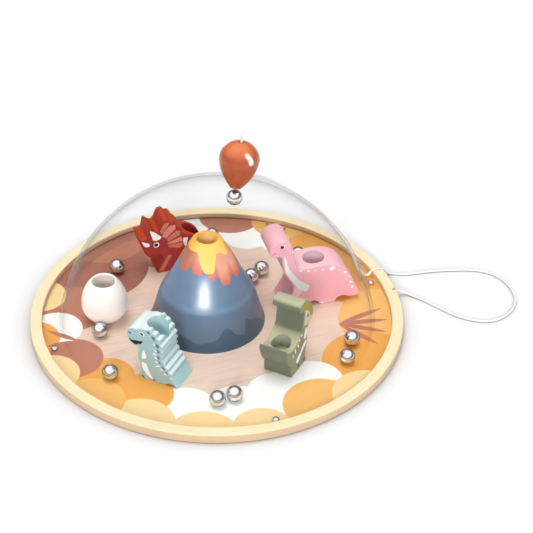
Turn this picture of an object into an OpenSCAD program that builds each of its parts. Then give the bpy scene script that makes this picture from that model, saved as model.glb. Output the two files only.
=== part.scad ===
// Magnetic maze toy: a clear dome over a round wooden tray with a volcano, an egg, four
// cut-out dinosaurs, loose steel balls, and a magnetic wand on a cord that pulls the balls.
// Millimetres, +Z up. The origin is the middle of the tray's underside.

/* [Tray] */
// Outer diameter of the wooden ring
ring_d = 240; // [228:1:270]
// Width of the ring's flat top
ring_w = 7.5; // [6:0.1:12]
// Height of the ring
ring_h = 6.4; // [5.6:0.1:10]
// Rounding of the ring's long edges
ring_round = 0.8; // [0.3:0.1:1.2]
// Thickness of the base board
board_t = 2.2; // [1.8:0.1:3]
// How far the board reaches under the ring
board_lap = 3.4; // [1.5:0.1:4.5]
// Gap round a glued or pressed piece
fit_gap = 0.05; // [0.02:0.01:0.1]

/* [Dome] */
// Height of the dome's top above the table
dome_top = 93; // [88:0.5:100]
// Width of the dome's rim, from its edge to the line of the dome
rim_w = 10.52; // [8:0.01:13]
// Wall of the dome
dome_wall = 1.6; // [1:0.1:2.5]
// Thickness of the dome's flat rim
rim_t = 1; // [0.8:0.1:1.8]
// Radius of the bend between dome and rim
rim_bend = 2.5; // [1:0.1:3.5]
// Gap between the rim and the ring
rim_gap = 0.4; // [0.2:0.1:1]

/* [Screws] */
// Number of screws in the dome's rim
rim_screw_n = 4; // [3:1:8]
// Angle of the first rim screw
rim_screw_at = 21; // [0:1:40]
// Shank diameter of a rim screw
rim_screw_d = 2; // [1.6:0.1:2.4]
// Head diameter of a rim screw
rim_head_d = 4.4; // [3.6:0.1:5]
// Head height of a rim screw
rim_head_h = 1.3; // [0.8:0.1:1.8]
// Shank diameter of a screw under a figure
foot_screw_d = 2.6; // [2:0.1:3]
// Head diameter of a screw under a figure
foot_head_d = 5; // [4:0.1:6]
// Length of a screw under a figure
foot_screw_l = 10; // [8:0.5:11]
// Gap round a screw's shank
screw_gap = 0.05; // [0.02:0.01:0.1]

/* [Balls] */
// Diameter of a steel ball
ball_d = 10; // [8:0.5:10.2]
// Gap under a ball
ball_gap = 0.1; // [0.05:0.05:0.3]
// Least gap between a ball and the dome
ball_wall_gap = 0.3; // [0.1:0.05:0.6]

/* [Volcano and egg] */
// Radius of the volcano's foot
volcano_r = 37.2; // [33:0.1:38.5]
// Height of the volcano
volcano_h = 62.8; // [52:0.1:64]
// Diameter of the crater
crater_d = 13; // [12:0.1:14]
// Depth of the crater
crater_depth = 22; // [14:0.5:30]
// Largest radius of the egg
egg_r = 15; // [13.5:0.1:15.2]
// Height of the egg
egg_h = 29.8; // [26:0.1:34]
// Diameter of the egg's pocket
egg_pocket_d = 14.4; // [12:0.1:15]
// Depth of the egg's pocket
egg_depth = 19; // [12:0.5:22]

/* [Figures] */
// Thickness of the short-armed dinosaur
t_rex_t = 19.5; // [18:0.5:23]
// Thickness of the long-necked dinosaur
long_neck_t = 22; // [19:0.5:24]
// Thickness of the horned dinosaur
horned_t = 17.5; // [16:0.5:20]
// Thickness of the crested dinosaur
crested_t = 19; // [17:0.5:22]
// Pocket diameter in the short-armed dinosaur
t_rex_pocket_d = 13.4; // [11:0.1:13.6]
// Pocket diameter in the long-necked dinosaur
long_neck_pocket_d = 14.4; // [12:0.1:16]
// Pocket diameter in the horned dinosaur
horned_pocket_d = 12.6; // [11:0.1:13]
// Pocket diameter in the crested dinosaur
crested_pocket_d = 12.5; // [11:0.1:13]

/* [Wand] */
// Length of the wand's knob
knob_l = 30.8; // [29:0.1:35]
// Largest radius of the knob
knob_r = 12.6; // [10:0.1:12.8]
// Gap between the dome and the knob, and between the dome and the ball it holds
glide_gap = 0.3; // [0.2:0.05:0.6]
// Diameter of the magnet
magnet_d = 5; // [3:0.1:5.4]
// Length of the magnet
magnet_l = 6; // [3:0.1:12]
// How far the wand leans to the back
wand_back = 8.5; // [0:0.5:12]
// How far the wand leans to the right
wand_right = 6; // [0:0.5:12]

/* [Cord] */
// Diameter of the cord
cord_d = 1.6; // [1.2:0.1:1.7]
// Diameter of the holes that the cord ends in
cord_hole_d = 1.8; // [1.75:0.05:2.2]
// Angle of the ring's notch where the cord passes over
notch_over_at = 24.8; // [22:0.1:26]
// Angle of the ring's notch where the cord ends
notch_end_at = 13.5; // [12:0.1:15]
// Width of a notch
notch_w = 2.4; // [2:0.1:3.2]

/* [Hidden] */

$fn = 96;
eps = 0.01;

// Tray
ring_r = ring_d / 2;
ring_in = ring_r - ring_w;
board_r = ring_in + board_lap;
rim_r = ring_in - rim_gap;
rim_top = board_t + rim_t;

// Dome: one sphere through its top and its foot, with its middle a little below the table
foot_r = rim_r - rim_w;
dome_h = dome_top - rim_top;
dome_r = (pow(foot_r, 2) + pow(dome_h, 2)) / (2 * dome_h);
dome_z = dome_top - dome_r;
dome_in = dome_r - dome_wall;
foot_in = sqrt(pow(dome_in, 2) - pow(board_t - dome_z, 2));
DOME_STEPS = 48;

// Rim screws: a little inside the middle of the rim's flat part
rim_screw_in = 0.3;
rim_screw_r = (foot_r + rim_bend + rim_r) / 2 - rim_screw_in;
rim_screw_foot = 0.4;

// Point of a screw under a figure, and the room above it
screw_tip_l = 1;
screw_tip_d = 0.6;
screw_tip_gap = 0.3;

function polar(r, a) = [r * cos(a), r * sin(a)];

// Places of what stands on the board, as shares of the radius inside the dome's foot,
// and the turn of each figure about Z
VOLCANO_AT = foot_in * [-0.0649, -0.025];
EGG_AT = foot_in * [-0.7193, -0.0529];
HORNED_AT = foot_in * [-0.4196, 0.4466];
T_REX_AT = foot_in * [-0.2098, -0.7443];
LONG_NECK_AT = foot_in * [0.7593, 0.1758];
CRESTED_AT = foot_in * [0.4785, -0.6114];
horned_turn = 21;
t_rex_turn = -24;
long_neck_turn = 17;
crested_turn = 64;

// Balls on the board: the farthest that one can lie from the middle, and where each lies.
// Some lie against the egg, beside the volcano or beside another ball
ball_r = ball_d / 2;
ball_z = board_t + ball_r + ball_gap;
ball_reach = sqrt(pow(dome_in - ball_r - ball_wall_gap, 2) - pow(ball_z - dome_z, 2));
egg_ball = 0.961 * (egg_r + ball_r);
volcano_ball = volcano_r + ball_r + 6.35;
ball_4_at = polar(0.88 * foot_in, -87.7);
ball_8_at = VOLCANO_AT + polar(volcano_ball, 55.5);
BALLS = [
    polar(0.821 * foot_in, 147.1),
    EGG_AT + polar(egg_ball, -94.6),
    polar(0.909 * foot_in, -133.8),
    ball_4_at,
    ball_4_at + polar(1.108 * ball_d, 26.3),
    polar(0.899 * foot_in, -17.3),
    polar(ball_reach, -28.7),
    ball_8_at,
    ball_8_at + polar(1.09 * ball_d, 52.4),
    polar(0.842 * foot_in, 94.8),
    polar(0.824 * foot_in, 50.75)
];

// Outlines seen from the painted side: x along the figure, y up from the board.
// A third number makes a point a corner, and the rest of the line is a smooth curve.
T_REX = [
    [0, 0, 1], [-5.4, 2], [-9.6, 0, 1], [-22.4, 0, 1], [-25.4, 0.8], [-26.2, 3.2], [-25.6, 7],
    [-25.8, 11], [-27.2, 15], [-27.4, 20], [-26.6, 23.8, 1], [-29.6, 23.8], [-32.6, 26.4],
    [-34.4, 30.6], [-34, 34.4], [-31, 36.8], [-27.6, 37.2], [-24, 38.6], [-20.4, 38.6, 1],
    [-18.4, 39.6], [-16.8, 37.4, 1], [-14.6, 36.8], [-13.8, 34.2, 1], [-11.8, 33], [-11.8, 30, 1],
    [-9.9, 28.4], [-11.1, 26, 1], [-9.6, 24], [-11.2, 22, 1], [-9.8, 20], [-10.8, 18, 1],
    [-8.8, 16.4], [-8.9, 14, 1], [-6.4, 13], [-6.6, 10.6, 1], [-4.4, 9.4], [-4.4, 7, 1], [-2.4, 3.8]
];
LONG_NECK = [
    [0, 0, 1], [2.2, 3.2], [6, 3.9], [12, 2.2], [16.6, 3.2], [17.3, 5.2], [14.8, 10], [11.8, 16.6],
    [8, 23], [3.4, 27.6], [-3.6, 30.4], [-11.4, 31], [-18.8, 30.2], [-24.4, 31.2], [-27.6, 35.4],
    [-29.2, 43.8], [-30.4, 49.8], [-33, 53], [-37, 54], [-41.4, 52.4], [-44.4, 49.4], [-45, 46],
    [-43.6, 43], [-41.4, 42, 1], [-38.6, 42.5], [-36.6, 40.4], [-36.4, 36.6], [-34.6, 28.6],
    [-29.8, 20], [-28.6, 15], [-30, 10, 1], [-35.4, 0, 1], [-18, 0, 1], [-15.4, 3.2], [-12.4, 3],
    [-9.6, 0, 1]
];
HORNED = [
    [0, 0, 1], [4.6, 11.6, 1], [2.6, 13.8], [-0.6, 14.4], [-3.6, 13.2], [-6.4, 14.8], [-8.8, 18.8],
    [-10.6, 24.6], [-11.2, 28.8, 1], [-8.8, 28.4], [-6.4, 29, 1], [-5.8, 32.8], [-4.9, 36.8, 1],
    [-2.8, 35.4], [-0.6, 33.6], [1.8, 34.2], [3.6, 38], [5, 41, 1], [8, 41.4], [9.6, 39.2, 1],
    [12.2, 38.8], [13.9, 36.8], [13.9, 34.6, 1], [16, 33.6], [17.4, 31.8], [17, 29.8, 1],
    [20, 27.8], [24, 26.2], [28.4, 23.8], [31.8, 20.6], [34.2, 16.2], [37.4, 9.6], [41, 6.4, 1], [37.4, 5.4],
    [34.2, 3.4], [34, 0, 1], [23.6, 0, 1], [21.4, 4.4], [13.6, 4.6], [11, 0, 1]
];
CRESTED = [
    [0, 0, 1], [-0.4, 8.6, 1], [-1.8, 9.6], [-4.4, 13.6], [-6.4, 18.4], [-7.6, 22.4],
    [-6.8, 24.8, 1], [-4, 22], [0, 21.2], [5, 21.4], [9.6, 23.4], [12.8, 25.8], [14.4, 29],
    [15, 33], [16, 37], [15.6, 40.8, 1], [12.6, 41.6], [9.6, 43.4], [9.4, 46.4], [12, 48.4],
    [16.8, 48.4], [21, 45.8], [25.2, 40.8], [28, 35.6], [28.4, 31.4], [26.4, 28.2],
    [22.4, 27.2, 1], [20.8, 24], [20.8, 18.6], [20.6, 13], [19, 7.6], [19.2, 3.2], [20, 0, 1]
];
CURVE_STEPS = 4;

// Pockets: place along the figure, and height of the pocket's floor above the board
T_REX_POCKET = [-18, 25];
LONG_NECK_POCKET = [-12.2, 16];
HORNED_POCKET = [26.6, 13];
CRESTED_POCKET = [3.6, 14];
pocket_cut_h = 20;

// Screws under the figures: place along the figure, or place about its middle
T_REX_SCREWS = [-20.5, -13];
LONG_NECK_SCREWS = [-27, -4.8];
HORNED_SCREWS = [6.2, 28.6];
CRESTED_SCREWS = [4.5, 15];
VOLCANO_SCREW_R = 22;
VOLCANO_SCREW_N = 3;

// Profile of the volcano as shares of its foot radius and height
VOLCANO = [
    [1, 0, 1], [0.983, 0.03], [0.948, 0.095], [0.9, 0.195], [0.852, 0.295], [0.808, 0.375],
    [0.735, 0.45], [0.648, 0.535], [0.55, 0.65], [0.452, 0.775], [0.345, 0.89], [0.28, 0.96],
    [0.246, 0.995, 1]
];

crater_lip = 0.9;

// Egg: height of its widest place, and how far down its lower half ellipsoid would reach
egg_wide_at = 12.3;
egg_low = 13;
egg_lip = 0.9;
egg_lip_h = 0.3;

// Profile of the knob as shares of its radius and length
KNOB = [
    [0.3, 0, 1], [0.4, 0.05], [0.58, 0.15], [0.755, 0.27], [0.875, 0.38], [0.955, 0.49],
    [1, 0.6], [0.985, 0.69], [0.89, 0.79], [0.7, 0.885], [0.46, 0.955], [0.2, 0.995], [0, 1, 1]
];
tip_z = dome_r + glide_gap;
carried_z = dome_in - glide_gap - ball_r;

// Holes and notches that the cord ends in
cord_hole_depth = 5.6;
knob_mouth_d = 4.4;
knob_mouth_h = 1.4;
over_notch_l = 3.6;
over_notch_slope = 25;
end_notch_l = 2.6;
cord_end_r = ring_r - 6.4;
cord_end_z = 4.6;
cord_dome_gap = 0.4;
cord_table_gap = 0.1;

// Route of the cord from the knob's hole to its end in the ring.
// On the wand: across and along the wand, from the middle of the knob's top
CORD_ON_WAND = [
    [0, -cord_hole_depth], [0, 1.6], [0.9, 3.9], [3.2, 4.8], [5.5, 3.9], [8.1, 0.4], [11.2, -3.4],
    [14.2, -9.2]
];
// Falling to the dome, and on it: angle from the top, angle about Z, height over the dome
CORD_FALL = [[17, 67.7, 15.8], [20.2, 67.7, 4.3]];
cord_lie = cord_d / 2 + cord_dome_gap;
CORD_ON_DOME = [
    [22.6, 67.5, cord_lie], [27, 67, cord_lie], [38.5, 61, cord_lie], [50.5, 49, cord_lie],
    [62.5, 36.5, cord_lie], [73.5, 27.4, cord_lie], [78.5, 25, cord_lie]
];
// Over the rim and the ring: distance out from the ring's edge, and height
CORD_OVER_RING = [
    [-12.4, 4.3], [-9.6, 5.3], [-8, 7.1], [-6, 7.5], [-3.4, 7.3], [-1, 6.4], [1, 5.4], [2.3, 3.2]
];
// On the table: distance out from the ring's edge, and angle about Z
CORD_ON_TABLE = [
    [6, 24.6], [14.5, 22.7], [39.6, 21], [63.9, 18.4], [75.8, 14.4], [78.4, 8.6], [71.5, 3.8],
    [57, 0.8], [38, 2.2], [17.9, 9.4]
];
// Up to the hole in the ring: distance out from the ring's edge, and height
CORD_INTO_RING = [[7.6, 1.6], [4.6, 3.2], [1.6, 4.5], [-1.6, 4.6]];
cord_step = 6.5;
CORD_SIDES = 8;

function spot(p, i) = let (q = p[(i + len(p)) % len(p)]) [q[0], q[1]];
function corner(p, i) = len(p[(i + len(p)) % len(p)]) > 2;

// One point of a smooth curve between b and c, at the share t
function blend_at(a, b, c, d, t) = b
    + ((c - a) * t + (2 * a - 5 * b + 4 * c - d) * t * t + (3 * b - a - 3 * c + d) * t * t * t) / 2;

// Closed outline through the points p
function outline(p, n) = [
    for (i = [0 : len(p) - 1])
        let (b = spot(p, i), c = spot(p, i + 1),
             a = corner(p, i) ? b : spot(p, i - 1),
             d = corner(p, i + 1) ? c : spot(p, i + 2),
             steps = corner(p, i) && corner(p, i + 1) ? 1 : n)
        for (k = [0 : steps - 1]) blend_at(a, b, c, d, k / steps)
];

// Arc about [x, y] from angle a to angle b
function arc(x, y, r, a, b, n) = [
    for (i = [0 : n]) let (t = a + (b - a) * i / n) [x + r * cos(t), y + r * sin(t)]
];

// Arc of the ellipse with half axes rx and ry about [0, y], from angle a to angle b
function ellipse_arc(rx, ry, y, a, b, n) = [
    for (i = [0 : n]) let (t = a + (b - a) * i / n) [rx * cos(t), y + ry * sin(t)]
];

// Open curve through the points p, whose ends are corners, each scaled by k
function profile(p, k, n) = [
    for (i = [0 : len(p) - 2])
        let (b = spot(p, i), c = spot(p, i + 1),
             a = i == 0 ? b : spot(p, i - 1),
             d = i == len(p) - 2 ? c : spot(p, i + 2))
        for (j = [0 : n - 1])
            let (q = blend_at(a, b, c, d, j / n)) [q[0] * k[0], q[1] * k[1]],
    let (q = spot(p, len(p) - 1)) [q[0] * k[0], q[1] * k[1]]
];

function unit(v) = v / norm(v);

// A point of the wand's frame, measured from the tip of the knob, in the toy's frame
function wand_point(v) =
    let (z = v[2] + tip_z,
         x1 = v[0] * cos(wand_right) + z * sin(wand_right),
         z1 = z * cos(wand_right) - v[0] * sin(wand_right))
    [x1, v[1] * cos(wand_back) + z1 * sin(wand_back),
     dome_z + z1 * cos(wand_back) - v[1] * sin(wand_back)];

// A point at the angle a about Z, the distance d outside the ring's edge and the height z
function by_ring(d, a, z) = [(ring_r + d) * cos(a), (ring_r + d) * sin(a), z];

// A point over the dome: angle from the top, angle about Z, and height over the dome
function over_dome(q) =
    let (r = dome_r + q[2])
    [r * sin(q[0]) * cos(q[1]), r * sin(q[0]) * sin(q[1]), dome_z + r * cos(q[0])];

cord_points = concat(
    [for (q = CORD_ON_WAND) wand_point([0, q[0], knob_l + q[1]])],
    [for (q = CORD_FALL) over_dome(q)],
    [for (q = CORD_ON_DOME) over_dome(q)],
    [for (q = CORD_OVER_RING) by_ring(q[0], notch_over_at, q[1])],
    [for (q = CORD_ON_TABLE) by_ring(q[0], q[1], cord_d / 2 + cord_table_gap)],
    [for (q = CORD_INTO_RING) by_ring(q[0], notch_end_at, q[1])],
    [by_ring(cord_end_r - ring_r, notch_end_at, cord_end_z)]
);

// Cord: its route as a smooth line, and a ring of corners at each of the line's points
cord_last = len(cord_points) - 1;
cord_line = [
    for (i = [0 : cord_last - 1])
        let (b = cord_points[i], c = cord_points[i + 1],
             a = i == 0 ? b : cord_points[i - 1],
             d = i == cord_last - 1 ? c : cord_points[i + 2],
             n = max(1, round(norm(c - b) / cord_step)))
        for (k = [0 : n - 1]) blend_at(a, b, c, d, k / n),
    cord_points[cord_last]
];
cord_split = len(CORD_ON_WAND) - 1;
cord_tangents = [
    for (i = [0 : len(cord_line) - 1])
        unit(cord_line[min(i + 1, len(cord_line) - 1)] - cord_line[max(i - 1, 0)])
];
function turned(n, t) = unit(n - t * (n * t));
cord_normals = [
    for (i = 0, n = turned([1, 0, 0], cord_tangents[0]);
         i < len(cord_line);
         i = i + 1, n = i < len(cord_line) ? turned(n, cord_tangents[i]) : n) n
];
function cord_ring(i) =
    let (n = cord_normals[i], m = cross(cord_tangents[i], n))
    [for (k = [0 : CORD_SIDES - 1])
        let (a = 360 * (k + 0.5) / CORD_SIDES) cord_line[i] + cord_d / 2 * (n * cos(a) + m * sin(a))];

// Closed tube from the cord's ring number a to ring number b
module cord_tube(a, b) {
    s = CORD_SIDES;
    points = [for (i = [a : b]) each cord_ring(i)];
    sides = [
        for (i = [0 : b - a - 1], k = [0 : s - 1])
            let (p = i * s + k, q = i * s + (k + 1) % s)
            each [[p, p + s, q + s], [p, q + s, q]]
    ];
    caps = [[for (k = [0 : s - 1]) k], [for (k = [s - 1 : -1 : 0]) (b - a) * s + k]];
    polyhedron(points, concat(sides, caps));
}

module on_wand() {
    translate([0, 0, dome_z]) rotate([-wand_back, 0, 0]) rotate([0, wand_right, 0]) children();
}

module at_figure(place, turn) {
    translate([place[0], place[1], board_t]) rotate([0, 0, turn]) children();
}

// Hole for a figure's screw, straight up from the board's underside
module foot_screw_hole() {
    translate([0, 0, -eps]) cylinder(h = foot_screw_l + screw_tip_gap, d = foot_screw_d + 2 * screw_gap);
}

module foot_screw() {
    head_h = (foot_head_d - foot_screw_d) / 2;
    cylinder(h = head_h, d1 = foot_head_d, d2 = foot_screw_d);
    translate([0, 0, head_h - eps])
        cylinder(h = foot_screw_l - head_h - screw_tip_l, d = foot_screw_d);
    translate([0, 0, foot_screw_l - screw_tip_l - 2 * eps])
        cylinder(h = screw_tip_l, d1 = foot_screw_d, d2 = screw_tip_d);
}

// Children at each screw under a cut-out figure
module each_screw(place, turn, spots, t) {
    translate(place) rotate([0, 0, turn])
        for (x = spots) translate([x, t / 2, 0]) children();
}

// Children at every screw under the figures, the volcano and the egg
module each_foot_screw() {
    each_screw(T_REX_AT, t_rex_turn, T_REX_SCREWS, t_rex_t) children();
    each_screw(LONG_NECK_AT, long_neck_turn, LONG_NECK_SCREWS, long_neck_t) children();
    each_screw(HORNED_AT, horned_turn, HORNED_SCREWS, horned_t) children();
    each_screw(CRESTED_AT, crested_turn, CRESTED_SCREWS, crested_t) children();
    volcano_screws() children();
    translate(EGG_AT) children();
}

module volcano_screws() {
    translate(VOLCANO_AT)
        for (i = [0 : VOLCANO_SCREW_N - 1])
            rotate([0, 0, 90 + i * 360 / VOLCANO_SCREW_N]) translate([VOLCANO_SCREW_R, 0, 0]) children();
}

module each_rim_screw() {
    for (i = [0 : rim_screw_n - 1])
        rotate([0, 0, rim_screw_at + i * 360 / rim_screw_n]) translate([rim_screw_r, 0, 0]) children();
}

// A thick upright cut-out with a round pocket from above and screw holes from below
module cut_out(place, turn, points, t, pocket, pocket_d, screws) {
    difference() {
        at_figure(place, turn) translate([0, t, 0]) rotate([90, 0, 0])
            linear_extrude(t) polygon(outline(points, CURVE_STEPS));
        at_figure(place, turn) translate([pocket[0], t / 2, pocket[1]])
            cylinder(h = pocket_cut_h, d = pocket_d);
        each_screw(place, turn, screws, t) foot_screw_hole();
    }
}

module tray_ring() {
    r = ring_round;
    seat = board_r + fit_gap;
    color("wheat") difference() {
        rotate_extrude() polygon(concat(
            [[seat, 0]],
            arc(ring_r - r, r, r, -90, 0, 6),
            arc(ring_r - r, ring_h - r, r, 0, 90, 6),
            arc(ring_in + r, ring_h - r, r, 90, 180, 6),
            [[ring_in, board_t + fit_gap], [seat, board_t + fit_gap]]
        ));
        over_notch();
        end_notch();
    }
}

// Sloping notch in the ring's outer edge that the cord lies in on its way over
module over_notch() {
    rotate([0, 0, notch_over_at]) translate([ring_r - over_notch_l, 0, ring_h])
        rotate([0, over_notch_slope, 0]) translate([0, -notch_w / 2, 0])
        cube([2 * over_notch_l, notch_w, ring_h]);
}

// Notch and blind hole that the cord ends in
module end_notch() {
    rotate([0, 0, notch_end_at]) {
        translate([ring_r - end_notch_l, -notch_w / 2, cord_end_z - notch_w / 2])
            cube([2 * end_notch_l, notch_w, ring_h]);
        translate([cord_end_r, 0, cord_end_z]) rotate([0, 90, 0])
            cylinder(h = ring_r - cord_end_r, d = cord_hole_d);
    }
}

module base_board() {
    color("burlywood") difference() {
        cylinder(h = board_t, r = board_r);
        each_foot_screw() {
            translate([0, 0, -eps]) cylinder(h = board_t + 1, d = foot_screw_d + 2 * screw_gap);
            translate([0, 0, -eps])
                cylinder(h = (foot_head_d - foot_screw_d) / 2 + 2 * screw_gap,
                         d1 = foot_head_d + 2 * screw_gap, d2 = foot_screw_d);
        }
        each_rim_screw() translate([0, 0, rim_screw_foot])
            cylinder(h = board_t, d = rim_screw_d + 2 * screw_gap);
    }
}

// Dome and rim as one turned shell
module dome_shell() {
    low_in = asin((board_t - dome_z) / dome_in);
    bend_z = rim_top + rim_bend;
    bend_r = sqrt(pow(dome_r + rim_bend, 2) - pow(bend_z - dome_z, 2));
    join = atan2(bend_z - dome_z, bend_r);
    color([0.86, 0.93, 0.95, 0.3]) difference() {
        rotate_extrude() polygon(concat(
            arc(0, dome_z, dome_r, 90, join, DOME_STEPS),
            arc(bend_r, bend_z, rim_bend, 180 + join, 270, 8),
            [[rim_r, rim_top], [rim_r, board_t]],
            arc(0, dome_z, dome_in, low_in, 90, DOME_STEPS)
        ));
        each_rim_screw() cylinder(h = rim_top + rim_head_h, d = rim_screw_d + 2 * screw_gap);
    }
}

module rim_screws() {
    cap_r = (pow(rim_head_d / 2, 2) + pow(rim_head_h, 2)) / (2 * rim_head_h);
    half = asin(rim_head_d / 2 / cap_r);
    color("gainsboro") each_rim_screw() {
        translate([0, 0, rim_top]) rotate_extrude() polygon(concat(
            [[0, 0]],
            arc(0, rim_head_h - cap_r, cap_r, 90 - half, 90, 8)
        ));
        translate([0, 0, rim_screw_foot + fit_gap])
            cylinder(h = rim_top - rim_screw_foot - fit_gap + eps, d = rim_screw_d);
    }
}

module figure_screws() {
    color("silver") each_foot_screw() foot_screw();
}

module volcano() {
    color("slategray") difference() {
        translate([VOLCANO_AT[0], VOLCANO_AT[1], board_t]) rotate_extrude() polygon(concat(
            [[0, 0]],
            profile(VOLCANO, [volcano_r, volcano_h - crater_lip / 2], 3),
            arc(crater_d / 2 + crater_lip, volcano_h - crater_lip, crater_lip, 60, 180, 5),
            [[crater_d / 2, volcano_h - crater_depth], [0, volcano_h - crater_depth]]
        ));
        volcano_screws() foot_screw_hole();
    }
}

// Egg of two half ellipsoids, cut flat below, with a pocket open at the top
module egg() {
    egg_high = (egg_h - egg_wide_at) / sqrt(1 - pow((egg_pocket_d / 2 + egg_lip) / egg_r, 2));
    start = -asin(egg_wide_at / egg_low);
    stop = asin((egg_h - egg_wide_at) / egg_high);
    color("ivory") difference() {
        translate([EGG_AT[0], EGG_AT[1], board_t]) rotate_extrude() polygon(concat(
            [[0, 0]],
            ellipse_arc(egg_r, egg_low, egg_wide_at, start, 0, 8),
            ellipse_arc(egg_r, egg_high, egg_wide_at, 0, stop, 10),
            [[egg_pocket_d / 2, egg_h - egg_lip_h], [egg_pocket_d / 2, egg_h - egg_depth],
             [0, egg_h - egg_depth]]
        ));
        translate(EGG_AT) foot_screw_hole();
    }
}

module horned_dinosaur() {
    color("firebrick")
        cut_out(HORNED_AT, horned_turn, HORNED, horned_t, HORNED_POCKET, horned_pocket_d,
                HORNED_SCREWS);
}

module t_rex_dinosaur() {
    color("powderblue")
        cut_out(T_REX_AT, t_rex_turn, T_REX, t_rex_t, T_REX_POCKET, t_rex_pocket_d,
                T_REX_SCREWS);
}

module long_neck_dinosaur() {
    color("pink")
        cut_out(LONG_NECK_AT, long_neck_turn, LONG_NECK, long_neck_t, LONG_NECK_POCKET, long_neck_pocket_d,
                LONG_NECK_SCREWS);
}

module crested_dinosaur() {
    color("darkseagreen")
        cut_out(CRESTED_AT, crested_turn, CRESTED, crested_t, CRESTED_POCKET, crested_pocket_d,
                CRESTED_SCREWS);
}

// Ball number i on the board
module floor_ball(i) {
    place = BALLS[i - 1];
    color("lightgray") translate([place[0], place[1], ball_z]) sphere(d = ball_d);
}

module carried_ball() {
    color("lightgray") on_wand() translate([0, 0, carried_z]) sphere(d = ball_d);
}

module wand_knob() {
    color("coral") on_wand() translate([0, 0, tip_z]) difference() {
        rotate_extrude() polygon(concat([[0, 0]], profile(KNOB, [knob_r, knob_l], 3)));
        translate([0, 0, -eps]) cylinder(h = magnet_l + eps, d = magnet_d + 2 * fit_gap);
        translate([0, 0, knob_l - cord_hole_depth])
            cylinder(h = cord_hole_depth + eps, d = cord_hole_d);
        translate([0, 0, knob_l - knob_mouth_h])
            cylinder(h = knob_mouth_h + eps, d1 = cord_hole_d, d2 = knob_mouth_d);
    }
}

module wand_magnet() {
    color("dimgray") on_wand() translate([0, 0, tip_z]) cylinder(h = magnet_l, d = magnet_d);
}

module wand_cord() {
    color("white") cord_tube(cord_split, len(cord_line) - 1);
}

module wand_cord_end() {
    color("white") cord_tube(0, cord_split);
}

tray_ring();
base_board();
dome_shell();
rim_screws();
figure_screws();
volcano();
egg();
horned_dinosaur();
t_rex_dinosaur();
long_neck_dinosaur();
crested_dinosaur();
floor_ball(1);  // ball_1
floor_ball(2);  // ball_2
floor_ball(3);  // ball_3
floor_ball(4);  // ball_4
floor_ball(5);  // ball_5
floor_ball(6);  // ball_6
floor_ball(7);  // ball_7
floor_ball(8);  // ball_8
floor_ball(9);  // ball_9
floor_ball(10);  // ball_10
floor_ball(11);  // ball_11
carried_ball();
wand_knob();
wand_magnet();
wand_cord();
wand_cord_end();
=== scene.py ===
"""Looks of a magnetic maze toy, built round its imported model.

A clear dome stands on a round wooden tray, over a volcano, an egg, four cut-out dinosaurs and
loose steel balls. A wand on a cord holds one more ball through the dome.
Sizes are in millimetres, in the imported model's frame; meshes are made in metres.
"""

import logging
from collections.abc import Callable, Iterable, Sequence
from dataclasses import dataclass
from enum import Enum
from functools import cache
from math import asin, atan2, cos, degrees, dist, hypot, pi, radians, sin, sqrt
from typing import Protocol

import bmesh
import bpy
from bmesh.types import BMesh, BMVert
from bpy.types import ID, Material, NodeSocket, Object
from mathutils import Euler, Matrix, Vector
from mathutils.geometry import delaunay_2d_cdt

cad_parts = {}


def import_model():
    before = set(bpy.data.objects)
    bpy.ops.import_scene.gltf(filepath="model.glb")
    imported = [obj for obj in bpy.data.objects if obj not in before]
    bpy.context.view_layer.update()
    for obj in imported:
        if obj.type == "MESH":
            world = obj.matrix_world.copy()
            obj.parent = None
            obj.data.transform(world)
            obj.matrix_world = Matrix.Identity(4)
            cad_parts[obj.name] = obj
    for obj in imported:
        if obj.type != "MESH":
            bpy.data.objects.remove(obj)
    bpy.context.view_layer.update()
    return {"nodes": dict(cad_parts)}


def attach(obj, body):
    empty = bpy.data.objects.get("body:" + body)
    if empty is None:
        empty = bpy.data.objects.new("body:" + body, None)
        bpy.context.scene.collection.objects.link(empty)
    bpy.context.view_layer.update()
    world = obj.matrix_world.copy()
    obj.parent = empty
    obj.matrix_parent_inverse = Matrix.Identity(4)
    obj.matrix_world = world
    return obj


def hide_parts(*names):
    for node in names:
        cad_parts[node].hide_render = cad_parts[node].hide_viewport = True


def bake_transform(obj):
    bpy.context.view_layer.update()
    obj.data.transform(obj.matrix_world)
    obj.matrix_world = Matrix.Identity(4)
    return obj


MM = 0.001
ON_AXIS = 1e-4
SAME_SPOT = 1e-5
INSIDE_ONLY = 1
MIX_LOW, MIX_HIGH, MIXED = 6, 7, 2
Point = tuple[float, float]
Spot = tuple[float, float, float]
Line = Sequence[Sequence[float]]
Colour = tuple[float, float, float, float]
LOG = logging.getLogger("maze_toy")


def linear(part: int) -> float:
    """Linear share of one part, 0 to 255, of a screen colour."""
    share = part / 255
    return share / 12.92 if share <= 0.04045 else ((share + 0.055) / 1.055) ** 2.4


def colour(red: int, green: int, blue: int) -> Colour:
    """Linear colour, with an alpha of 1, that nodes take for a screen colour."""
    return linear(red), linear(green), linear(blue), 1.0


def blend_at(a: Vector, b: Vector, c: Vector, d: Vector, share: float) -> Vector:
    """Point a share of the way from b to c, on the smooth curve that comes from a and leads to d."""
    first, second = (c - a) * share, (2 * a - 5 * b + 4 * c - d) * share ** 2
    return b + (first + second + (3 * b - a - 3 * c + d) * share ** 3) / 2


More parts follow.
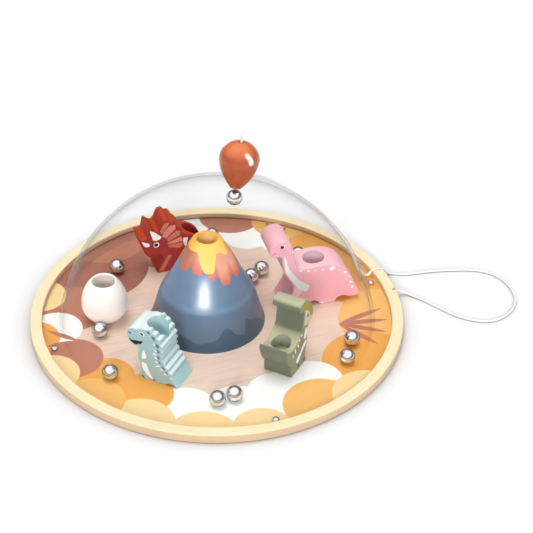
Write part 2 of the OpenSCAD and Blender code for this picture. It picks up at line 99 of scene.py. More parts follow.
def closed_line(points: Line, steps: int) -> list[Vector]:
    """Draws a closed smooth line in the plane.

    Args:
        points: Its points, of which those with a third number are corners.
        steps: How many short lines make a curved stretch.

    Returns:
        The line's points.
    """
    spots = [Vector(p[:2]) for p in points]
    sharp = [len(p) > 2 for p in points]
    line = []
    for i in range(len(spots)):
        after = (i + 1) % len(spots)
        b, c = spots[i], spots[after]
        a = b if sharp[i] else spots[i - 1]
        d = c if sharp[after] else spots[(i + 2) % len(spots)]
        pieces = 1 if sharp[i] and sharp[after] else steps
        line += [blend_at(a, b, c, d, k / pieces) for k in range(pieces)]
    return line


def open_line(points: Line, steps: int = 0, step: float = 1) -> list[Vector]:
    """Draws an open smooth line through points of any size.

    Args:
        points: The points, whose first and last are its ends.
        steps: How many short lines make one stretch, or 0 to go by their length.
        step: About how long they are then.

    Returns:
        The line's points.
    """
    spots = [Vector(p) for p in points]
    line = []
    for i in range(len(spots) - 1):
        a, b, c, d = (spots[min(max(k, 0), len(spots) - 1)] for k in range(i - 1, i + 3))
        pieces = steps or max(1, round((c - b).length / step))
        line += [blend_at(a, b, c, d, k / pieces) for k in range(pieces)]
    return line + [spots[-1]]


def arc(x: float, y: float, radius: float, start: float, stop: float, steps: int) -> list[Vector]:
    """Arc about x, y from one angle in degrees to another, with both ends."""
    angles = (radians(start + (stop - start) * i / steps) for i in range(steps + 1))
    return [Vector((x + radius * cos(t), y + radius * sin(t))) for t in angles]


def polar(radius: float, at: float, height: float) -> Vector:
    """Point at an angle in degrees about the tray's axis."""
    turn = radians(at)
    return Vector((radius * cos(turn), radius * sin(turn), height))


def operator(name: str, other_first: bool = False) -> Callable[..., "Wire"]:
    """Makes a method that works out one operation on a wire and what else it takes.

    Args:
        name: The name of the Math or Vector Math operation.
        other_first: Whether the wire comes last in it.

    Returns:
        The method.
    """
    def method(self: "Wire", *others: "Fed") -> "Wire":
        """Works the operation out."""
        return self.reckon(name, *others, self) if other_first else self.reckon(name, self, *others)

    return method


@dataclass(eq=False)
class Wire:
    """A node's output, in its material, that is reckoned with like a number, or like a vector.

    A | B is the larger value and joins two masks, and A & B, the smaller, is what they share.
    """

    shader: "Shader"
    socket: NodeSocket

    __add__, __radd__ = operator("ADD"), operator("ADD", True)
    __sub__, __rsub__ = operator("SUBTRACT"), operator("SUBTRACT", True)
    __mul__, __rmul__ = operator("MULTIPLY"), operator("MULTIPLY", True)
    __truediv__, __rtruediv__ = operator("DIVIDE"), operator("DIVIDE", True)
    __pow__, __rpow__ = operator("POWER"), operator("POWER", True)
    __or__, __and__ = operator("MAXIMUM"), operator("MINIMUM")
    sine, cosine, size = operator("SINE"), operator("COSINE"), operator("ABSOLUTE")
    angle = operator("ARCTAN2")

    def reckon(self, operation: str, *values: "Fed", output: int = 0) -> "Wire":
        """Adds the node that works out one operation on the values.

        Args:
            operation: The name of the Math or Vector Math operation.
            *values: What the operation takes, in order.
            output: Which of the node's outputs is wanted.

        Returns:
            The node's output.
        """
        vector = any(isinstance(v, Wire) and v.socket.type == "VECTOR" for v in values)
        kind = "ShaderNodeVectorMath" if vector else "ShaderNodeMath"
        fed = {i: (v,) * 3 if vector and isinstance(v, (int, float)) else v for i, v in enumerate(values)}
        return self.shader.add(kind, {"operation": operation}, fed, output)

    def over(self, edge: "Fed", soft: float) -> "Wire":
        """Makes a mask that is 1 where this value is over an edge, and 0 under it.

        Args:
            edge: The value at the middle of the mask's border.
            soft: How wide the border is.

        Returns:
            The mask.
        """
        rise = (self - edge) / soft + 0.5
        rise.socket.node.use_clamp = True
        return rise

    def under(self, edge: "Fed", soft: float) -> "Wire":
        """Mask that is 1 where this value is under an edge, with a border that is soft wide."""
        return 1 - self.over(edge, soft)


Fed = Wire | float | Colour | Spot


class Shader:
    """A material's nodes: one method adds any node, and the others name what they make."""

    owners: str = "materials"
    ends_in: str = "ShaderNodeOutputMaterial"

    def __init__(self, name: str) -> None:
        """Starts with no nodes.

        Args:
            name: The name of the material.
        """
        self.owner = getattr(bpy.data, self.owners).new(name)
        self.owner.use_nodes = True
        self.nodes = self.owner.node_tree.nodes
        self.nodes.clear()

    def add(
        self,
        kind: str,
        settings: dict[str, object] | None = None,
        fed: dict[int | str, Fed] | None = None,
        output: int = 0,
    ) -> Wire:
        """Adds a node, sets it up, and feeds its sockets.

        Args:
            kind: The node's type.
            settings: The node's own settings, which are set first.
            fed: Values or wires for its sockets, by name or place.
            output: Which of its outputs is wanted.

        Returns:
            That output.
        """
        node = self.nodes.new(kind)
        for name, value in (settings or {}).items():
            setattr(node, name, value)
        for place, value in (fed or {}).items():
            if isinstance(value, Wire):
                self.link(value, node.inputs[place])
            else:
                node.inputs[place].default_value = value
        return Wire(self, node.outputs[output])

    def link(self, wire: Wire, socket: NodeSocket) -> None:
        """Feeds a socket with a wire."""
        self.owner.node_tree.links.new(wire.socket, socket)

    def height_round(self, turn: Wire, stops: Sequence[Point], most: float) -> Wire:
        """Makes a height that changes with the angle about an axis.

        Args:
            turn: The angle in radians.
            stops: Angles in degrees from -180 to 180, and their heights.
            most: A height above all of them.

        Returns:
            The height.
        """
        share = self.add("ShaderNodeValToRGB", fed={0: turn / (2 * pi) + 0.5})
        ramp = share.socket.node.color_ramp
        ramp.interpolation = "EASE"
        for i, (at, high) in enumerate(stops):
            where, level = (at + 180) / 360, high / most
            stop = ramp.elements[i] if i < 2 else ramp.elements.new(where)
            stop.position = where
            stop.color = (level, level, level, 1)
        return share * most

    def place(self) -> Wire:
        """Place on the piece, in millimetres of the model's frame."""
        return self.named("ShaderNodeTexCoord", "Object") * (1 / MM)

    def split(self, vector: Wire) -> list[Wire]:
        """The three numbers of a vector."""
        node = self.add("ShaderNodeSeparateXYZ", fed={0: vector}).socket.node
        return [Wire(self, socket) for socket in node.outputs]

    def join(self, x: Fed, y: Fed, z: Fed) -> Wire:
        """Vector of three numbers."""
        return self.add("ShaderNodeCombineXYZ", fed={0: x, 1: y, 2: z})

    def noise(self, where: Wire, scale: float, detail: float = 3, rough: float = 0.5) -> Wire:
        """Noise about 0.5, with so many waves in a unit, and finer layers as strong as rough says."""
        fed = {"Vector": where, "Scale": scale, "Detail": detail, "Roughness": rough}
        return self.add("ShaderNodeTexNoise", fed=fed)

    def mix(self, low: Fed, high: Fed, share: Fed, blend: str = "MIX") -> Wire:
        """Mix of two colours, which is the first at a share of 0 and blends the second in at 1."""
        settings = {"data_type": "RGBA", "blend_type": blend}
        return self.add("ShaderNodeMix", settings, {0: share, MIX_LOW: low, MIX_HIGH: high}, MIXED)

    def vary(self, base: Fed, much: float, where: Wire, scale: float) -> Wire:
        """Colour that grows lighter and darker over the surface, by as large a share as much says."""
        level = (self.noise(where, scale, 4) - 0.5) * (4 * much) + 1
        return self.mix(base, self.join(level, level, level), 1.0, "MULTIPLY")

    def bump(self, height: Wire, depth: float, strength: float = 1) -> Wire:
        """Surface direction of a height, of which 1 stands for so many millimetres of depth."""
        fed = {"Strength": strength, "Distance": depth * MM, "Height": height}
        return self.add("ShaderNodeBump", fed=fed)

    def principled(self, **fed: Fed) -> Wire:
        """Surface shader, whose sockets are named with _ for a space."""
        named = {name.replace("_", " "): value for name, value in fed.items()}
        return self.add("ShaderNodeBsdfPrincipled", fed=named)

    def finish(self, surface: Wire) -> ID:
        """Material, or world, whose nodes end in that surface or light."""
        self.link(surface, self.nodes.new(self.ends_in).inputs["Surface"])
        return self.owner

    def ray(self, kind: str) -> Wire:
        """Whether the light path is of a kind, as 1 or 0."""
        return self.named("ShaderNodeLightPath", f"Is {kind} Ray")

    def named(self, kind: str, output: str) -> Wire:
        """Output of a new node by its name."""
        return Wire(self, self.nodes.new(kind).outputs[output])


class Sky(Shader):
    """The world's nodes, reckoned with as a material's are."""

    owners: str = "worlds"
    ends_in: str = "ShaderNodeOutputWorld"


class Finish(Protocol):
    """What every finish has: the name of its material, and a way to make it."""

    name: str

    def make(self) -> Material:
        """Makes the material."""


@cache
def material_of(finish: Finish) -> Material:
    """Material of a finish, which is made once."""
    return finish.make()


@dataclass(frozen=True)
class Wood:
    """Bare varnished wood whose grain runs round the tray.

    Fibres and pores each have how fine they are across and round the tray, their detail and roughness.
    """

    pale: Colour = colour(252, 240, 203)
    dark: Colour = colour(238, 210, 160)
    edge: Colour = colour(218, 182, 146)
    edge_top: float = 6
    edge_soft: float = 0.8
    edge_share: float = 0.8
    fibre_share: float = 0.55
    pore_share: float = 0.5
    cloud_share: float = 0.05
    rough: float = 0.34
    rough_spread: float = 0.2
    relief: float = 0.12
    fibres: tuple[float, ...] = (1.6, 5, 6, 0.62)
    pores: tuple[float, ...] = (5, 34, 2, 0.5)
    name: str = "ring_wood"

    def make(self) -> Material:
        """Makes the material.

        Returns:
            The material.
        """
        s = Shader(self.name)
        where = s.place()
        x, y, z = s.split(where)
        radius, turn = (x * x + y * y) ** 0.5, y.angle(x)
        grains = []
        for across, along, detail, rough in (self.fibres, self.pores):
            spot = s.join(radius * across, z * across, turn.cosine() * along)
            fed = {"Vector": spot, "W": turn.sine() * along, "Detail": detail, "Roughness": rough}
            grains.append(s.add("ShaderNodeTexNoise", {"noise_dimensions": "4D"}, fed | {"Scale": 1}))
        fibre, pore = grains[0], grains[1].over(0.6, soft=0.1)
        tone = s.mix(self.pale, self.dark, fibre.over(0.5, soft=0.42) * self.fibre_share)
        tone = s.mix(tone, self.dark, pore * self.pore_share)
        # The ring's sides, below edge_top, take the darker edge tone.
        tone = s.mix(tone, self.edge, z.under(self.edge_top, self.edge_soft) * self.edge_share)
        tone = s.vary(tone, self.cloud_share, where, scale=0.018)
        facing = s.bump(fibre * 0.6 + pore * -0.4, self.relief, strength=0.5)
        rough = self.rough + fibre * self.rough_spread
        return s.finish(s.principled(Base_Color=tone, Roughness=rough, Normal=facing))


def disc(where: Wire, centre: Point, radius: float, soft: float = 0.2) -> Wire:
    """Mask of a disc on the board, read at a place with a height of 0, with a border that is soft wide."""
    far = where.reckon("DISTANCE", where, (*centre, 0.0), output=1)
    return far.under(radius, soft)


@dataclass(frozen=True)
class Leaf:
    """An almond leaf of the board's print, from its foot to its tip."""

    foot: Point
    tip: Point
    wide: float

    def mask(self, where: Wire) -> Wire:
        """Makes the leaf's mask, which is what two large discs share.

        Args:
            where: The place on the board, with a height of 0.

        Returns:
            The mask.
        """
        (x0, y0), (x1, y1) = self.foot, self.tip
        half = dist(self.foot, self.tip) / 2
        radius = (half ** 2 + self.wide ** 2) / (2 * self.wide)
        away = radius - self.wide
        ux, uy = (x1 - x0) / (2 * half), (y1 - y0) / (2 * half)
        x, y = (x0 + x1) / 2, (y0 + y1) / 2
        left, right = (disc(where, (x - uy * out, y + ux * out), radius) for out in (-away, away))
        return left & right


class Ground(Enum):
    """The colours of the board's print."""

    CLAY = colour(188, 122, 98)
    CLAY_DEEP = colour(166, 104, 84)
    OCHRE = colour(238, 168, 78)
    OCHRE_PALE = colour(244, 188, 108)
    SAND = colour(250, 218, 158)
    WHITE = colour(252, 251, 248)


@dataclass(frozen=True)
class LandPrint:
    """A printed land of plain round dunes and leaves on a wooden board.

    Each dune has an angle in degrees and a distance from the board's middle, a radius and a colour.
    """

    wood: Colour = colour(236, 212, 194)
    wood_line: Colour = colour(222, 192, 172)
    name: str = "board_print"
    grain_turn: float = 24
    grain_long: float = 0.035
    grain_fine: float = 1.3
    show_through: float = 0.14
    cloud_share: float = 0.02
    rough: float = 0.34
    rough_spread: float = 0.14
    relief: float = 0.03
    dunes: tuple[tuple[float, float, float, Ground], ...] = (
        (118, 92, 30, Ground.CLAY), (150, 100, 38, Ground.CLAY_DEEP), (178, 96, 24, Ground.CLAY),
        (134, 118, 30, Ground.CLAY), (96, 100, 20, Ground.WHITE), (80, 94, 17, Ground.WHITE),
        (64, 98, 18, Ground.WHITE), (88, 116, 22, Ground.CLAY), (48, 100, 26, Ground.OCHRE),
        (70, 116, 20, Ground.OCHRE_PALE), (26, 108, 34, Ground.OCHRE), (0, 112, 34, Ground.OCHRE_PALE),
        (-24, 106, 30, Ground.OCHRE), (-46, 88, 19, Ground.WHITE), (-62, 86, 20, Ground.WHITE),
        (-80, 92, 21, Ground.WHITE), (-100, 94, 20, Ground.WHITE), (-52, 108, 24, Ground.OCHRE_PALE),
        (-74, 112, 18, Ground.SAND), (-38, 120, 22, Ground.SAND), (-92, 116, 22, Ground.SAND),
        (-118, 90, 19, Ground.OCHRE), (-136, 92, 18, Ground.OCHRE), (-152, 100, 19, Ground.CLAY),
        (-112, 114, 22, Ground.SAND), (-130, 112, 20, Ground.OCHRE_PALE), (-170, 104, 17, Ground.WHITE),
        (-148, 118, 18, Ground.SAND), (-166, 120, 18, Ground.OCHRE), (172, 118, 17, Ground.SAND),
    )
    leaves: tuple[Leaf, ...] = (
        Leaf((78, -6), (107, 12), 2.1),
        Leaf((78, -6), (110, 0), 2.3),
        Leaf((78, -6), (109, -13), 2.2),
        Leaf((78, -6), (103, -26), 2.1),
        Leaf((-86, -30), (-108, -20), 1.9),
        Leaf((-86, -30), (-106, -36), 2.0),
        Leaf((36, 90), (30, 108), 1.9),
        Leaf((36, 90), (44, 103), 1.9),
    )

    def make(self) -> Material:
        """Makes the material.

        Returns:
            The material.
        """
        s = Shader(self.name)
        where = s.place()
        x, y, _ = s.split(where)
        flat = s.join(x, y, 0.0)
        c, n = cos(radians(self.grain_turn)), sin(radians(self.grain_turn))
        along, across = x * c + y * n, y * c - x * n
        grain = s.join(along * self.grain_long, across * self.grain_fine, 0.0)
        fibre = s.noise(grain, scale=1.0, detail=5, rough=0.6)
        tone = s.mix(self.wood, self.wood_line, fibre.over(0.52, soft=0.3))
        for at, out, radius, ground in self.dunes:
            tone = s.mix(tone, ground.value, disc(flat, polar(out, at, 0)[:2], radius))
        for leaf in self.leaves:
            tone = s.mix(tone, Ground.CLAY.value, leaf.mask(flat))
        tone = s.mix(tone, self.wood_line, fibre.over(0.6, soft=0.25) * self.show_through)
        tone = s.vary(tone, self.cloud_share, where, scale=0.05)
        facing = s.bump(fibre, self.relief, strength=0.35)
        rough = self.rough + fibre * self.rough_spread
        return s.finish(s.principled(Base_Color=tone, Roughness=rough, Normal=facing))


@dataclass(frozen=True)
class ClearPlastic:
    """Clear moulded plastic: seen through, bright and a little grey where it is seen edge on."""

    tint: Colour = colour(104, 106, 110)
    glass_bend: float = 1.49
    edge_power: float = 8.5
    edge_most: float = 0.95
    front_least: float = 0.006
    rough: float = 0.03
    rough_spread: float = 0.05
    name: str = "dome_plastic"

    def make(self) -> Material:
        """Makes the material.

        Returns:
            The material.
        """
        s = Shader(self.name)
        rough = self.rough + s.noise(s.place(), scale=0.02) * self.rough_spread
        body = s.principled(Base_Color=self.tint, Roughness=rough, IOR=self.glass_bend)
        clear = s.add("ShaderNodeBsdfTransparent")
        edge_on = s.add("ShaderNodeLayerWeight", fed={"Blend": 0.5}, output=1)
        share = edge_on ** self.edge_power * self.edge_most + self.front_least
        pane = s.add("ShaderNodeMixShader", fed={0: share, 1: clear, 2: body})
        return s.finish(s.add("ShaderNodeMixShader", fed={0: s.ray("Shadow"), 1: pane, 2: clear}))


@dataclass(frozen=True)
class Steel:
    """Polished steel with faint scratches."""

    name: str
    tone: Colour = colour(236, 236, 238)
    rough: float = 0.08
    limb: Colour = colour(96, 96, 100)
    scratch: float = 0.04

    def make(self) -> Material:
        """Makes the material.

        Returns:
            The material.
        """
        s = Shader(self.name)
        where = s.place()
        shade = s.vary(self.tone, 0.03, where, scale=0.3)
        rough = self.rough + s.noise(where, scale=0.9, detail=4, rough=0.6) * self.scratch
        steel = s.principled(Base_Color=shade, Metallic=1.0, Roughness=rough, Specular_Tint=self.limb)
        return s.finish(steel)


@dataclass(frozen=True)
class Paint:
    """Paint on a wooden piece: painted highlight in patches on rounded edges, and painted light where it
    faces up if told so.
    """

    name: str
    tone: Colour
    # Painted light: a paler colour blended in where the surface faces up.
    top: Colour | None = None
    # Near-white colour of the painted highlight on the rounded edges.
    rim_highlight: Colour = colour(250, 250, 248)
    rough: float = 0.48
    coat: float = 0.06
    rim_highlight_share: float = 0.25
    coat_rough: float = 0.1
    mirror: float = 0.32
    rough_spread: float = 0.16
    relief: float = 0.03

    def make(self) -> Material:
        """Makes the material.

        Returns:
            The material.
        """
        s = Shader(self.name)
        where = s.place()
        orange_peel = s.noise(where, scale=1.1)
        shade = self.tone
        # Painted light: faces whose normal points up take the paler top colour.
        if self.top:
            lifted = s.split(s.named("ShaderNodeNewGeometry", "Normal"))[2]
            shade = s.mix(self.tone, self.top, lifted.over(0.7, soft=0.4))
        shade = s.vary(shade, 0.03, where, scale=0.12)
        # Painted highlight: the near-white colour, in noise patches, along the middle of each rounded edge.
        rim = s.add("ShaderNodeAttribute", {"attribute_name": "rim"}, output=2)
        patchy = s.noise(where, scale=0.5, detail=4).over(0.42, soft=0.3)
        shade = s.mix(shade, self.rim_highlight, rim * patchy * self.rim_highlight_share)
        rough = self.rough + (orange_peel - 0.5) * self.rough_spread
        facing = s.bump(orange_peel, self.relief, strength=0.4)
        shine = {"Coat_Weight": self.coat, "Coat_Roughness": self.coat_rough}
        shine["Specular_IOR_Level"] = self.mirror
        body = s.principled(Base_Color=shade, Roughness=rough, Normal=facing, **shine)
        return s.finish(body)


@dataclass(frozen=True)
class VolcanoPaint:
    """Slate with a deeper foot, scalloped coral lava, and yellow that runs from the crater.

    Each edge is a row of angles about the volcano, in degrees, with the edge's heights there. The
    coral and the yellow are paler on the sides at minus coral_lit_side and minus yellow_lit_side
    radians, and darker away from them: painted light and shade. A paler band along the crease is a
    painted highlight.
    """

    middle: Point
    base: float
    slate: Colour = colour(105, 131, 160)
    slate_deep: Colour = colour(72, 104, 134)
    # Paler slate of the painted highlight along the crease.
    slate_crease_highlight: Colour = colour(130, 158, 186)
    coral: Colour = colour(212, 114, 84)
    coral_pale: Colour = colour(232, 162, 134)
    # Darker coral of the painted shade away from the lit side.
    coral_shaded: Colour = colour(178, 108, 78)
    yellow: Colour = colour(252, 210, 106)
    # Deeper yellow of the painted shade away from the lit side.
    ochre: Colour = colour(248, 178, 64)
    glow: Colour = colour(240, 184, 100)
    edge_soft: float = 0.3
    crease: float = 26
    crease_half: float = 1.5
    crease_soft: float = 2.4
    crease_highlight_share: float = 0.4
    rough: float = 0.36
    lava_rough: float = 0.26
    crater_top: float = 62
    crater_square: float = 50
    pale_over: float = 4.5
    coral_lit_side: float = 0.9
    yellow_lit_side: float = 1.3
    bulge: float = 0.013
    bulge_at: float = 33
    edge_most: float = 70
    name: str = "volcano_paint"
    lava_edge: tuple[Point, ...] = (
        (-180, 46.5), (-168, 48.6), (-155, 45), (-139, 45), (-125.4, 49.4), (-115, 46.3), (-101, 46),
        (-91, 49), (-82, 43.9), (-74, 43.4), (-68, 46), (-58, 39.3), (-47, 39), (-33.5, 43.4), (-25, 39.8),
        (-8, 39.8), (4, 44), (14, 40.5), (27, 40.5), (37, 45), (47, 41.5), (60, 41.5), (70, 46), (80, 41),
        (95, 41), (106, 46), (117, 42), (133, 42), (146, 47), (155, 44), (169, 44), (180, 46.5),
    )
    run_edge: tuple[Point, ...] = (
        (-180, 58), (-150, 57.6), (-122, 58.2), (-88, 47.4), (-77, 47.2), (-57, 57.6), (-44, 57.4),
        (-26, 54.3), (-14, 54.3), (-5, 60), (8, 60), (20, 57), (32, 57), (42, 60), (54, 51), (66, 51),
        (80, 59.5), (94, 59.5), (104, 54), (116, 54), (128, 59.5), (140, 56), (160, 56), (180, 58),
    )
    foot_edge: tuple[Point, ...] = (
        (-180, 6), (-170, 15), (-140, 12), (-115, 9), (-95, 5.8), (-80, 7.6), (-66, 15), (-52, 7.8),
        (-45, 6.4), (-40, 15.4), (-28, 12), (-8, 6.2), (10, 3), (26, 8), (44, 14), (60, 6), (84, 4.6),
        (104, 10), (122, 15), (136, 7), (158, 3), (180, 6),
    )

    def make(self) -> Material:
        """Makes the material.

        Returns:
            The material.
        """
        s = Shader(self.name)
        where = s.place()
        x, y, z = s.split(where)
        x, y, up = x - self.middle[0], y - self.middle[1], z - self.base
        turn = y.angle(x)
        edges = self.foot_edge, self.lava_edge, self.run_edge
        foot, lava, run = (s.height_round(turn, edge, self.edge_most) for edge in edges)
        # Painted highlight: a paler slate band along the crease.
        crease = (up - self.crease).size().under(self.crease_half, self.crease_soft)
        tone = s.mix(self.slate, self.slate_crease_highlight, crease * self.crease_highlight_share)
        tone = s.mix(tone, self.slate_deep, up.under(foot, self.edge_soft))
        lava_tone = s.mix(self.coral, self.coral_pale, up.over(lava + self.pale_over, soft=7))
        # Painted light and shade: the coral is darker away from its lit side.
        lava_tone = s.mix(self.coral_shaded, lava_tone, (turn + self.coral_lit_side).cosine().over(0.3, soft=0.8))
        tone = s.mix(tone, lava_tone, up.over(lava, self.edge_soft))
        # Painted light and shade: the yellow is paler on its lit side and deeper away from it.
        run_tone = s.mix(self.ochre, self.yellow, (turn + self.yellow_lit_side).cosine().over(0.4, soft=0.7))
        tone = s.mix(tone, run_tone, up.over(run, self.edge_soft))
        inside = (x * x + y * y).under(self.crater_square, soft=4) & up.under(self.crater_top, soft=0.4)
        tone = s.mix(tone, self.glow, inside)
        tone = s.vary(tone, 0.02, where, scale=0.06)
        peel = s.noise(where, scale=0.8)
        rough = self.rough + (peel - 0.5) * 0.06 + up.over(lava, self.edge_soft) * self.lava_rough
        swell = (up - self.bulge_at) * (up - self.bulge_at) * self.bulge
        facing = s.bump(peel * 0.002 - swell, 1)
        return s.finish(s.principled(Base_Color=tone, Roughness=rough, Normal=facing))


@dataclass(frozen=True)
class CordFinish:
    """White round cord with a fine twist."""

    tone: Colour = colour(238, 238, 236)
    rough: float = 0.7
    rough_spread: float = 0.2
    relief: float = 0.08
    name: str = "cord"

    def make(self) -> Material:
        """Makes the material.

        Returns:
            The material.
        """
        s = Shader(self.name)
        where = s.place()
        yarn = s.noise(where, scale=2.2)
        shade = s.vary(self.tone, 0.06, where, scale=1.5)
        facing = s.bump(yarn, self.relief, strength=0.6)
        rough = self.rough + yarn * self.rough_spread
        return s.finish(s.principled(Base_Color=shade, Roughness=rough, Normal=facing))


RED = Paint("red_paint", colour(172, 52, 48), rim_highlight_share=0.12)
# Sides of the red figure: more orange than its face, with painted light where they face up.
RUST_SIDES_LIT_TOP = Paint("rust_sides_lit_top", colour(160, 50, 32), colour(180, 63, 32), rough=0.7, coat=0, rim_highlight_share=0)
RED_POCKET = Paint("red_pocket", colour(162, 48, 52), rim_highlight_share=0)
BLUE = Paint("blue_paint", colour(160, 194, 201))
# Sides of the blue figure: the face's blue, with painted light where they face up.
BLUE_SIDES_LIT_TOP = Paint("blue_sides_lit_top", colour(162, 204, 210), colour(232, 243, 241))
BLUE_POCKET = Paint("blue_pocket", colour(192, 218, 220), rim_highlight_share=0)
PINK = Paint("pink_paint", colour(248, 185, 200))
# Sides of the pink figure: darker than its face, a painted shade, with painted light where they face up.
PINK_SIDES_LIT_TOP = Paint("pink_sides_lit_top", colour(236, 172, 184), colour(250, 196, 203))
PINK_POCKET = Paint("pink_pocket", colour(231, 206, 212), rim_highlight_share=0)
GREEN = Paint("green_paint", colour(139, 144, 109))
# Sides of the green figure: darker than its face, a painted shade, with painted light where they face up.
GREEN_SIDES_LIT_TOP = Paint("green_sides_lit_top", colour(114, 118, 98), colour(184, 184, 152))
GREEN_POCKET = Paint("green_pocket", colour(174, 176, 153), rim_highlight_share=0)
EGG_WHITE = Paint("egg_paint", colour(255, 248, 243), rough=0.2, coat=0.6, rim_highlight_share=0)
EGG_POCKET = Paint("egg_pocket", colour(232, 224, 217), rim_highlight_share=0)
# Knob paint: its second colour is a painted sheen where the knob faces up.
KNOB_ORANGE_LIT_TOP = Paint("knob_paint", colour(176, 82, 46), colour(218, 120, 68), rough=0.24, coat=0.4, rim_highlight_share=0)
MAGNET_GREY = Steel("magnet", colour(120, 120, 124), 0.3)


class Ink(Enum):
    """The colours of the painted marks."""

    BLACK = colour(26, 24, 28)
    WHITE = colour(255, 255, 255)
    CREAM = colour(242, 251, 255)
    SLATE = colour(92, 120, 142)
    SALMON = colour(234, 138, 126)
    TAN = colour(208, 128, 96)
    BRICK = colour(206, 112, 90)
    OLIVE = colour(158, 156, 70)
    PALE_GREEN = colour(208, 210, 184)
    PALE_PINK = colour(250, 214, 224)
    ROSE = colour(196, 96, 116)

    @property
    def paint(self) -> Paint:
        """Paint of this colour."""
        return Paint(f"{self.name.lower()}_mark", self.value, rim_highlight_share=0)


def dress(node: Object, finish: Finish) -> None:
    """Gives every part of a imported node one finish.

    Args:
        node: The node's object.
        finish: The finish.
    """
    material = material_of(finish)
    if not node.material_slots:
        node.data.materials.append(material)
    for slot in node.material_slots:
        slot.link = "OBJECT"
        slot.material = material
    LOG.info("dressed %s in %s", node.name, material.name)


def shown(name: str, data: ID) -> Object:
    """Makes an object of a mesh's, a lamp's or a camera's data, and shows it.

    Args:
        name: The object's name.
        data: The data.

    Returns:
        The object.
    """
    item = bpy.data.objects.new(name, data)
    bpy.context.scene.collection.objects.link(item)
    return item


def piece_from(name: str, mesh: BMesh, *finishes: Finish, sharp: float = 32) -> Object:
    """Makes an object of a mesh, smooth but for its sharp edges.

    Args:
        name: The piece's name.
        mesh: The mesh in metres, which is freed.
        *finishes: The finishes of its faces, in order.
        sharp: The angle in degrees from which an edge is sharp.

    Returns:
        The object.
    """
    data = bpy.data.meshes.new(name)
    mesh.to_mesh(data)
    mesh.free()
    for finish in finishes:
        data.materials.append(material_of(finish))
    data.set_sharp_from_angle(angle=radians(sharp))
    return shown(name, data)


def turned(line: Line, around: int, place: Matrix) -> BMesh:
    """Turns a profile about Z into a closed mesh.

    Args:
        line: The profile's points of radius and height in millimetres, with both ends on the axis.
        around: How many sides the turned shape has.
        place: Where it goes, in metres.

    Returns:
        The mesh in metres.
    """
    mesh = bmesh.new()
    rings = []
    for radius, height in map(Vector, line):
        if radius < ON_AXIS:
            rings.append([mesh.verts.new((0, 0, height * MM))])
            continue
        ring = []
        for k in range(around):
            t = 2 * pi * k / around
            ring.append(mesh.verts.new((radius * MM * cos(t), radius * MM * sin(t), height * MM)))
        rings.append(ring)
    for low, high in zip(rings, rings[1:]):
        for k in range(around):
            after = (k + 1) % around
            corners = [(low, k), (low, after), (high, after), (high, k)]
            kept = list(dict.fromkeys(ring[i % len(ring)] for ring, i in corners))
            if len(kept) > 2:
                mesh.faces.new(kept).smooth = True
    bmesh.ops.recalc_face_normals(mesh, faces=mesh.faces)
    mesh.transform(place)
    return mesh


def take_place(piece: Object, node: str, body: str = "tray") -> Object:
    """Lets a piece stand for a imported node.

    Args:
        piece: The piece.
        node: The node that it replaces.
        body: The body that it moves with.

    Returns:
        The piece.
    """
    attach(piece, body)
    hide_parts(node)
    LOG.info("built %s in place of %s", piece.name, node)
    return piece


@dataclass(frozen=True)
class Plan:
    """Sizes that several pieces share, in millimetres, as in the part's own source."""

    ring_r: float = 120
    ring_w: float = 7.5
    board_t: float = 2.2
    dome_top: float = 93
    dome_wall: float = 1.6
    rim_w: float = 10.52
    rim_t: float = 1
    rim_bend: float = 2.5
    rim_gap: float = 0.4
    knob_l: float = 30.8
    knob_r: float = 12.6
    glide_gap: float = 0.3
    wand_back: float = 8.5
    wand_right: float = 6

    @property
    def rim_r(self) -> float:
        """Outer radius of the dome's rim."""
        return self.ring_r - self.ring_w - self.rim_gap

    @property
    def rim_top(self) -> float:
        """Height of the rim's top."""
        return self.board_t + self.rim_t

    @property
    def dome_r(self) -> float:
        """Outer radius of the dome's sphere, from its foot and its top."""
        foot, high = self.rim_r - self.rim_w, self.dome_top - self.rim_top
        return (foot ** 2 + high ** 2) / (2 * high)

    @property
    def dome_z(self) -> float:
        """Height of the middle of the dome's sphere."""
        return self.dome_top - self.dome_r

    @property
    def dome_in(self) -> float:
        """Inner radius of the dome's sphere."""
        return self.dome_r - self.dome_wall

    @property
    def foot_in(self) -> float:
        """Radius of the board inside the dome."""
        return sqrt(self.dome_in ** 2 - (self.board_t - self.dome_z) ** 2)

    def on_board(self, x: float, y: float) -> Point:
        """Place on the board from shares of its radius."""
        return x * self.foot_in, y * self.foot_in

    def on_board_at(self, share: Point) -> Matrix:
        """Frame, in metres, of what stands on the board at shares of its radius."""
        return Matrix.Translation(Vector((*self.on_board(*share), self.board_t)) * MM)

    def by_ring(self, out: float, at: float, height: float) -> Vector:
        """Point so far outside the ring's edge, at an angle in degrees, so high over the table."""
        return polar(self.ring_r + out, at, height)

    def over_dome(self, down: float, at: float, height: float) -> Vector:
        """Point so many degrees down from the dome's top and round it, so high over the dome."""
        low, radius = radians(down), self.dome_r + height
        return polar(radius * sin(low), at, self.dome_z + radius * cos(low))

    def wand(self) -> Matrix:
        """Makes the frame of the wand in millimetres, whose Z leads from the dome's middle to the knob.

        Returns:
            The frame.
        """
        place = Matrix.Translation((0, 0, self.dome_z))
        back = Matrix.Rotation(radians(-self.wand_back), 4, "X")
        return place @ back @ Matrix.Rotation(radians(self.wand_right), 4, "Y")


PLAN = Plan()


class Side(Enum):
    """The two flat sides of a cut-out figure."""

    FACE = 0
    BACK = 1


@dataclass(frozen=True)
class Mark:
    """A painted shape on a figure's face: its outline, its colour, and whether it is curved."""

    points: Line
    ink: Ink
    curved: bool = False
    steps: int = 4

    def line(self) -> list[Vector]:
        """Outline of the mark in the face's plane."""
        return closed_line(self.points, self.steps) if self.curved else [Vector(p[:2]) for p in self.points]


